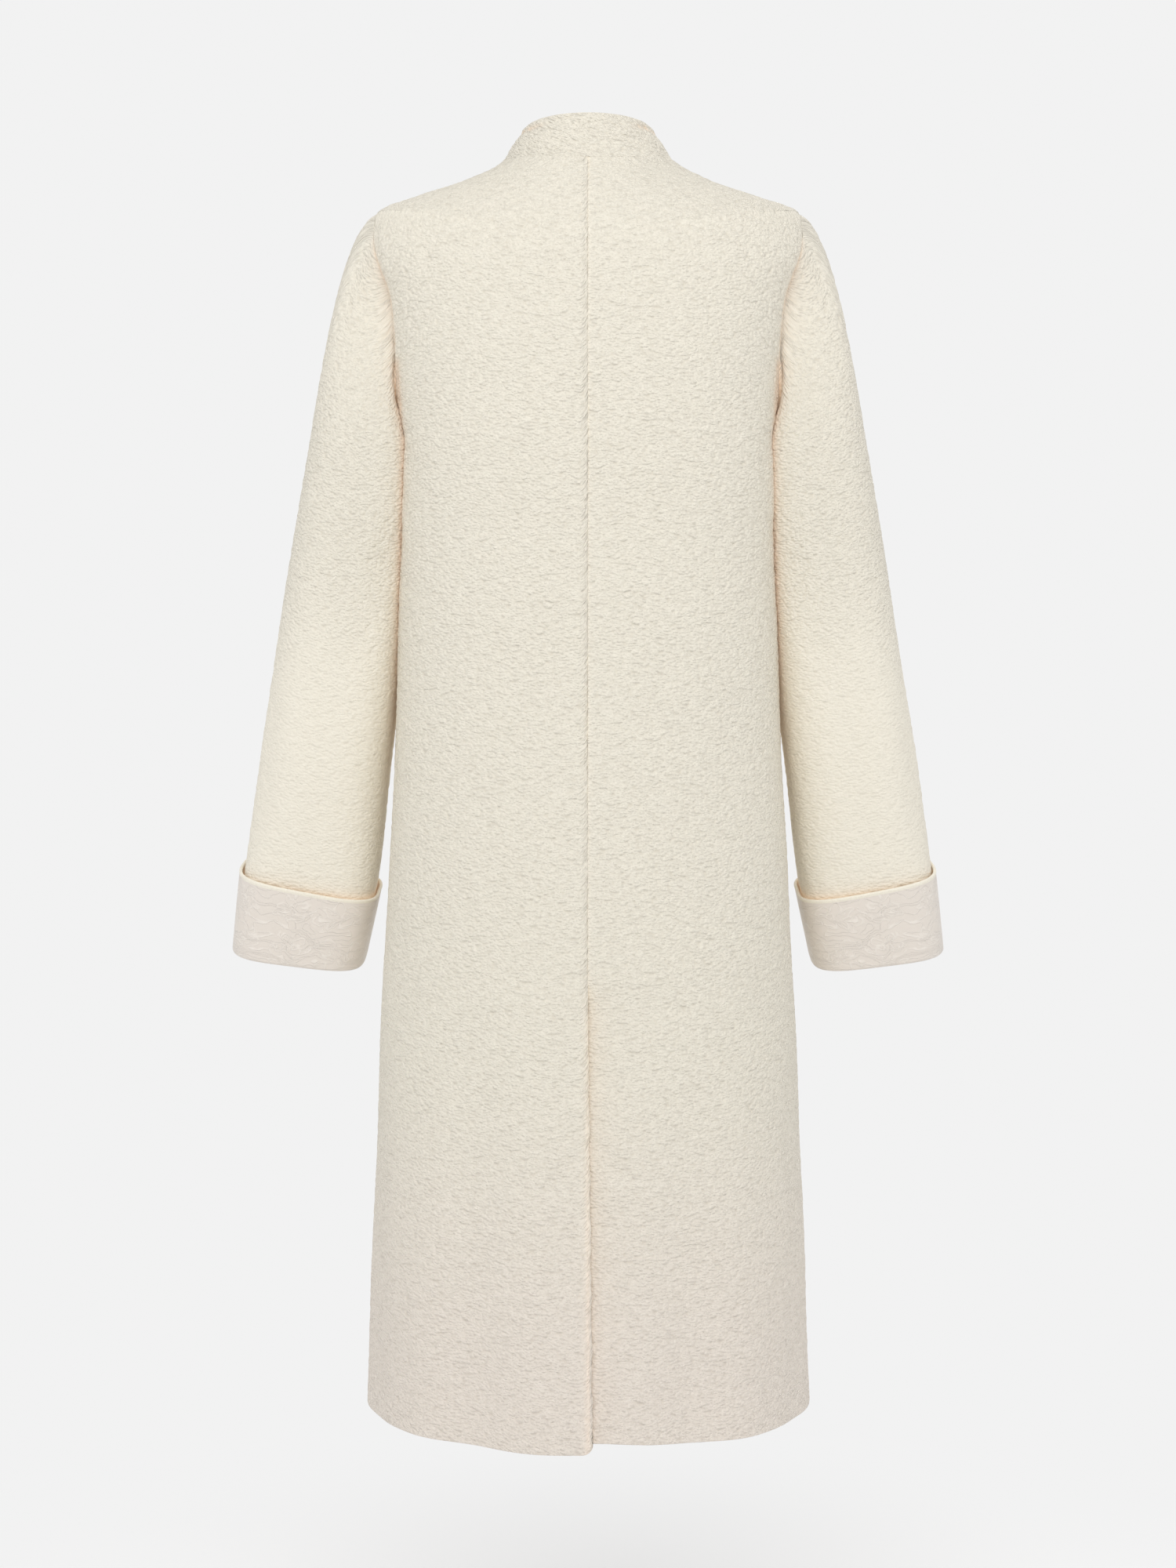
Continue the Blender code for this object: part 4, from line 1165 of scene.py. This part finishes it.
def backing_finish(colours):
    """The plain inside of the cloth: a flat close weave."""
    g = Graph("wool_inside_cloth")
    place = g.place()
    grain = g.noise(g.stretched(place, (1.0, 2.0, 1.0)), 700.0, 2.0)
    broad = g.noise(place, 12.0, 2.0)
    share = grain.rise(0.3, 0.7) * 0.25 + broad * 0.1
    colour = g.mix(share, tuple(colours.wool), tuple(colours.wool_gap_shade_and_grain))
    normal = g.bump(grain, 0.0004, 0.5)
    return g.finish(Base_Color=colour, Roughness=0.92, Sheen_Weight=0.1, Normal=normal)


def satin_finish(colours):
    """Ivory satin with open flowers and stems in fine raised lines."""
    g = Graph("ivory_satin_cloth")
    place = g.place()
    moved = g.moved(place, 55.0, 0.018)
    u, v = g.axis(moved, "X"), g.axis(moved, "Y")
    lines = flower_lines(u, v, 0.0, 0.0, 0.025, 5, 0.0) * 0.7
    lines = lines.or_more(flower_lines(u, v, 0.011, 0.013, 0.031, 6, 0.7) * 0.7)
    leaves = g.noise(g.stretched(moved, (0.6, 1.3, 1.0)), 48.0, 1.0)
    lines = lines.or_more(1 - ((leaves * 26.0).sine()).size().rise(0.04, 0.30))
    weave = (u * 9000.0).sine() * 0.5 + (v * 9000.0).sine() * 0.5
    slub = g.noise(g.stretched(place, (1.0, 9.0, 1.0)), 240.0, 2.0)
    colour = g.mix(lines * 0.62, tuple(colours.satin), tuple(colours.satin_line))
    colour = g.mix(slub.rise(0.4, 0.8) * 0.18, colour, tuple(colours.satin_shade))
    height = lines * 0.8 + weave * 0.03 + slub * 0.25
    normal = g.bump(height, 0.0005, 0.8)
    return g.finish(
        Base_Color=colour,
        Roughness=0.5 - lines * 0.1,
        Sheen_Weight=0.15,
        Specular_IOR_Level=0.4,
        Normal=normal,
    )


def flower_lines(u, v, shift_u, shift_v, spacing, petals, twist):
    """The outlines of one set of flowers, a flower in each square of the given spacing."""
    x, y = (u + shift_u) / spacing, (v + shift_v) / spacing
    cell_x, cell_y = x - x.whole() - 0.5, y - y.whole() - 0.5
    away = (cell_x * cell_x + cell_y * cell_y).root()
    turn = cell_y.angle(cell_x) * (petals / 2.0) + twist
    petal = turn.cosine().size()
    outline = (away - 0.2 - petal * 0.17).size()
    ring = (away - 0.07 - petal * 0.04).size()
    return (1 - outline.rise(0.008, 0.034)).or_more(1 - ring.rise(0.008, 0.032))


def roll_finish(colours):
    """The cream roll along the top of a cuff."""
    g = Graph("cream_roll_cloth")
    place = g.place()
    grain = g.noise(g.stretched(place, (1.0, 0.4, 1.0)), 900.0, 2.0)
    colour = g.mix(grain.rise(0.3, 0.8) * 0.3, tuple(colours.wool), tuple(colours.wool_gap_shade_and_grain))
    normal = g.bump(grain, 0.0005, 0.6)
    return g.finish(Base_Color=colour, Roughness=0.8, Sheen_Weight=0.2, Normal=normal)


# --- settings and steps -----------------------------------------------------------------------


def length_property(name, description, default):
    return bpy.props.FloatProperty(
        name=name, description=description, default=default, unit="LENGTH"
    )


class ClothSizes(bpy.types.PropertyGroup):
    curl_width: length_property("Curl width", "Width of one curl of the wool's face", 0.0046)
    curl_height: length_property("Curl height", "Height of one curl, up the cloth", 0.0029)
    curl_rise: length_property("Curl rise", "How far the curls stand out of their gaps", 0.0008)


def colour_property(name, description, default):
    return bpy.props.FloatVectorProperty(
        name=name, description=description, default=default, size=4, subtype="COLOR", min=0, max=1
    )


class ClothColours(bpy.types.PropertyGroup):
    wool: colour_property("Wool", "The tops of the wool's curls", (0.90, 0.85, 0.735, 1.0))
    # Painted shade between the curls of the outside; on the inside and the roll, the darker tone of
    # the grain.
    wool_gap_shade_and_grain: colour_property("Wool gaps", "Between the curls", (0.80, 0.74, 0.62, 1.0))
    # Painted shade: the warmer darker tint of the creases, seams and touching parts.
    wool_crease_shade: colour_property("Wool creases", "Deep in the creases", (0.86, 0.68, 0.52, 1.0))
    # Painted shade: darker and pinker towards the hem.
    hem_painted_shade: colour_property("Hem blush", "A tint that grows to the hem", (0.985, 0.952, 0.985, 1.0))
    # Painted light: the emission in the creases, by seams, at the vent and on the sleeves' inner
    # edges.
    wool_painted_glow: colour_property(
        "Light through wool", "What the pile lets through in the creases", (0.18, 0.135, 0.09, 1.0)
    )
    satin: colour_property("Satin", "The ground of the satin", (0.80, 0.735, 0.665, 1.0))
    satin_line: colour_property("Satin lines", "The raised lines", (0.90, 0.845, 0.775, 1.0))
    satin_shade: colour_property("Satin shade", "The darker threads", (0.78, 0.71, 0.635, 1.0))


class StudioSettings(bpy.types.PropertyGroup):
    backdrop: colour_property("Backdrop", "The pale studio", (0.887, 0.887, 0.887, 1.0))
    ambient: bpy.props.FloatProperty(
        name="Ambient", description="Strength of the light from all round", default=0.82
    )
    key: bpy.props.FloatProperty(
        name="Key", description="Power of the main soft light", default=29.6, unit="POWER"
    )
    floor_level: length_property("Floor level", "Height of the floor", -1.45)


def finish_named(name, maker):
    """One shared material, made when it is first asked for."""
    return bpy.data.materials.get(name) or maker(bpy.context.scene.coat_colours)


def wool_pair():
    """The outside and the inside of the wool."""
    outside = finish_named("pebbled_wool_cloth", wool_finish)
    return [outside, finish_named("wool_inside_cloth", backing_finish)]


def satin_pair():
    """The band of a cuff and the roll along its top."""
    band = finish_named("ivory_satin_cloth", satin_finish)
    return [band, finish_named("cream_roll_cloth", roll_finish)]


def settle(piece, node):
    """Fixes a piece of cloth to the coat, in place of its solid."""
    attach(piece, "root")
    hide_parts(node)


class COAT_OT_backs(bpy.types.Operator):
    """Adds the two backs, with the centre seam and the vent."""

    bl_idname = "coat.backs"
    bl_label = "Add the backs"

    def execute(self, context):
        for side, name in SIDES.items():
            settle(body_panel(side, True, context.scene.coat_cloth, wool_pair()), f"back_{name}")
        return {"FINISHED"}


class COAT_OT_fronts(bpy.types.Operator):
    """Adds the two fronts, lapped at the centre."""

    bl_idname = "coat.fronts"
    bl_label = "Add the fronts"

    def execute(self, context):
        for side, name in SIDES.items():
            settle(body_panel(side, False, context.scene.coat_cloth, wool_pair()), f"front_{name}")
        return {"FINISHED"}


class COAT_OT_collar(bpy.types.Operator):
    """Adds the stand collar."""

    bl_idname = "coat.collar"
    bl_label = "Add the collar"

    def execute(self, context):
        settle(collar_piece(context.scene.coat_cloth, wool_pair()), "collar")
        return {"FINISHED"}


class COAT_OT_sleeves(bpy.types.Operator):
    """Adds the two sleeves."""

    bl_idname = "coat.sleeves"
    bl_label = "Add the sleeves"

    def execute(self, context):
        for side, name in SIDES.items():
            settle(sleeve_piece(side, context.scene.coat_cloth, wool_pair()), f"sleeve_{name}")
        return {"FINISHED"}


class COAT_OT_cuffs(bpy.types.Operator):
    """Adds the two turned-back cuffs."""

    bl_idname = "coat.cuffs"
    bl_label = "Add the cuffs"

    def execute(self, context):
        for side, name in SIDES.items():
            settle(cuff_piece(side, satin_pair()), f"cuff_{name}")
        return {"FINISHED"}


class COAT_OT_studio(bpy.types.Operator):
    """Adds the floor, the lights and the camera."""

    bl_idname = "coat.studio"
    bl_label = "Set up the studio"

    def execute(self, context):
        studio = context.scene.coat_studio
        context.scene.view_settings.view_transform = "Standard"
        world = bpy.data.worlds.new("pale_studio")
        world.use_nodes = True
        tree = world.node_tree
        background = tree.nodes["Background"]
        background.inputs["Color"].default_value = tuple(studio.backdrop)
        seen = tree.nodes.new("ShaderNodeLightPath")
        strength = tree.nodes.new("ShaderNodeMapRange")
        strength.inputs["To Min"].default_value = studio.ambient
        strength.inputs["To Max"].default_value = 1.0
        tree.links.new(seen.outputs["Is Camera Ray"], strength.inputs["Value"])
        tree.links.new(strength.outputs["Result"], background.inputs["Strength"])
        context.scene.world = world
        bpy.ops.object.select_all(action="DESELECT")
        bpy.ops.mesh.primitive_circle_add(
            vertices=96, radius=FLOOR_RADIUS, fill_type="NGON", location=(0, 0, 0)
        )
        floor = context.active_object
        floor.name = "studio_floor"
        floor.data.transform(Matrix.Translation((0, 0, studio.floor_level)))
        g = Graph("studio_floor_paint")
        place = g.add("ShaderNodeTexCoord", {}, {}, "Object")
        away = g.add("ShaderNodeVectorMath", {"operation": "LENGTH"}, {0: place}, "Value")
        near = g.add("ShaderNodeBsdfDiffuse", {}, {"Color": (0.95, 0.95, 0.95, 1)})
        far = g.add("ShaderNodeEmission", {}, {"Color": tuple(studio.backdrop), "Strength": 1.0})
        share = away.rise(*FLOOR_FADE)
        paint = g.add("ShaderNodeMixShader", {}, {0: share, 1: near, 2: far})
        g.links.new(paint.socket, g.output.inputs["Surface"])
        floor.data.materials.append(g.material)
        for row in STUDIO_LIGHTS:
            light = bpy.data.lights.new(row.name, "AREA")
            light.shape, light.size, light.energy = "DISK", row.size, row.share * studio.key
            lamp = bpy.data.objects.new(row.name, light)
            lamp.location = row.place
            way = Vector(row.aim) - Vector(row.place)
            lamp.rotation_euler = way.to_track_quat("-Z", "Y").to_euler()
            context.scene.collection.objects.link(lamp)
        lens = bpy.data.cameras.new("studio_camera")
        lens.sensor_fit, lens.sensor_height, lens.lens = "VERTICAL", 36.0, CAMERA_LENS
        camera = bpy.data.objects.new("studio_camera", lens)
        camera.location = CAMERA_PLACE
        camera.rotation_euler = (radians(90), 0, radians(180))
        context.scene.collection.objects.link(camera)
        context.scene.camera = camera
        return {"FINISHED"}


class COAT_PT_panel(bpy.types.Panel):
    bl_idname = "COAT_PT_panel"
    bl_label = "Long wool coat"
    bl_space_type = "VIEW_3D"
    bl_region_type = "UI"
    bl_category = "Coat"

    def draw(self, context):
        scene = context.scene
        for group in (scene.coat_cloth, scene.coat_colours, scene.coat_studio):
            for name in group.__annotations__:
                self.layout.prop(group, name)
        for step in STEPS:
            self.layout.operator(step.bl_idname)


STEPS = (
    COAT_OT_backs,
    COAT_OT_fronts,
    COAT_OT_collar,
    COAT_OT_sleeves,
    COAT_OT_cuffs,
    COAT_OT_studio,
)
GROUPS = {"coat_cloth": ClothSizes, "coat_colours": ClothColours, "coat_studio": StudioSettings}


def register():
    for kind in (*GROUPS.values(), *STEPS, COAT_PT_panel):
        bpy.utils.register_class(kind)
    for name, kind in GROUPS.items():
        setattr(bpy.types.Scene, name, bpy.props.PointerProperty(type=kind))


def unregister():
    for name in GROUPS:
        delattr(bpy.types.Scene, name)
    for kind in (COAT_PT_panel, *reversed(STEPS), *GROUPS.values()):
        bpy.utils.unregister_class(kind)


def main():
    register()
    bpy.ops.coat.backs()
    bpy.ops.coat.fronts()
    bpy.ops.coat.collar()
    bpy.ops.coat.sleeves()
    bpy.ops.coat.cuffs()
    bpy.ops.coat.studio()


if __name__ == "__main__":
    main()
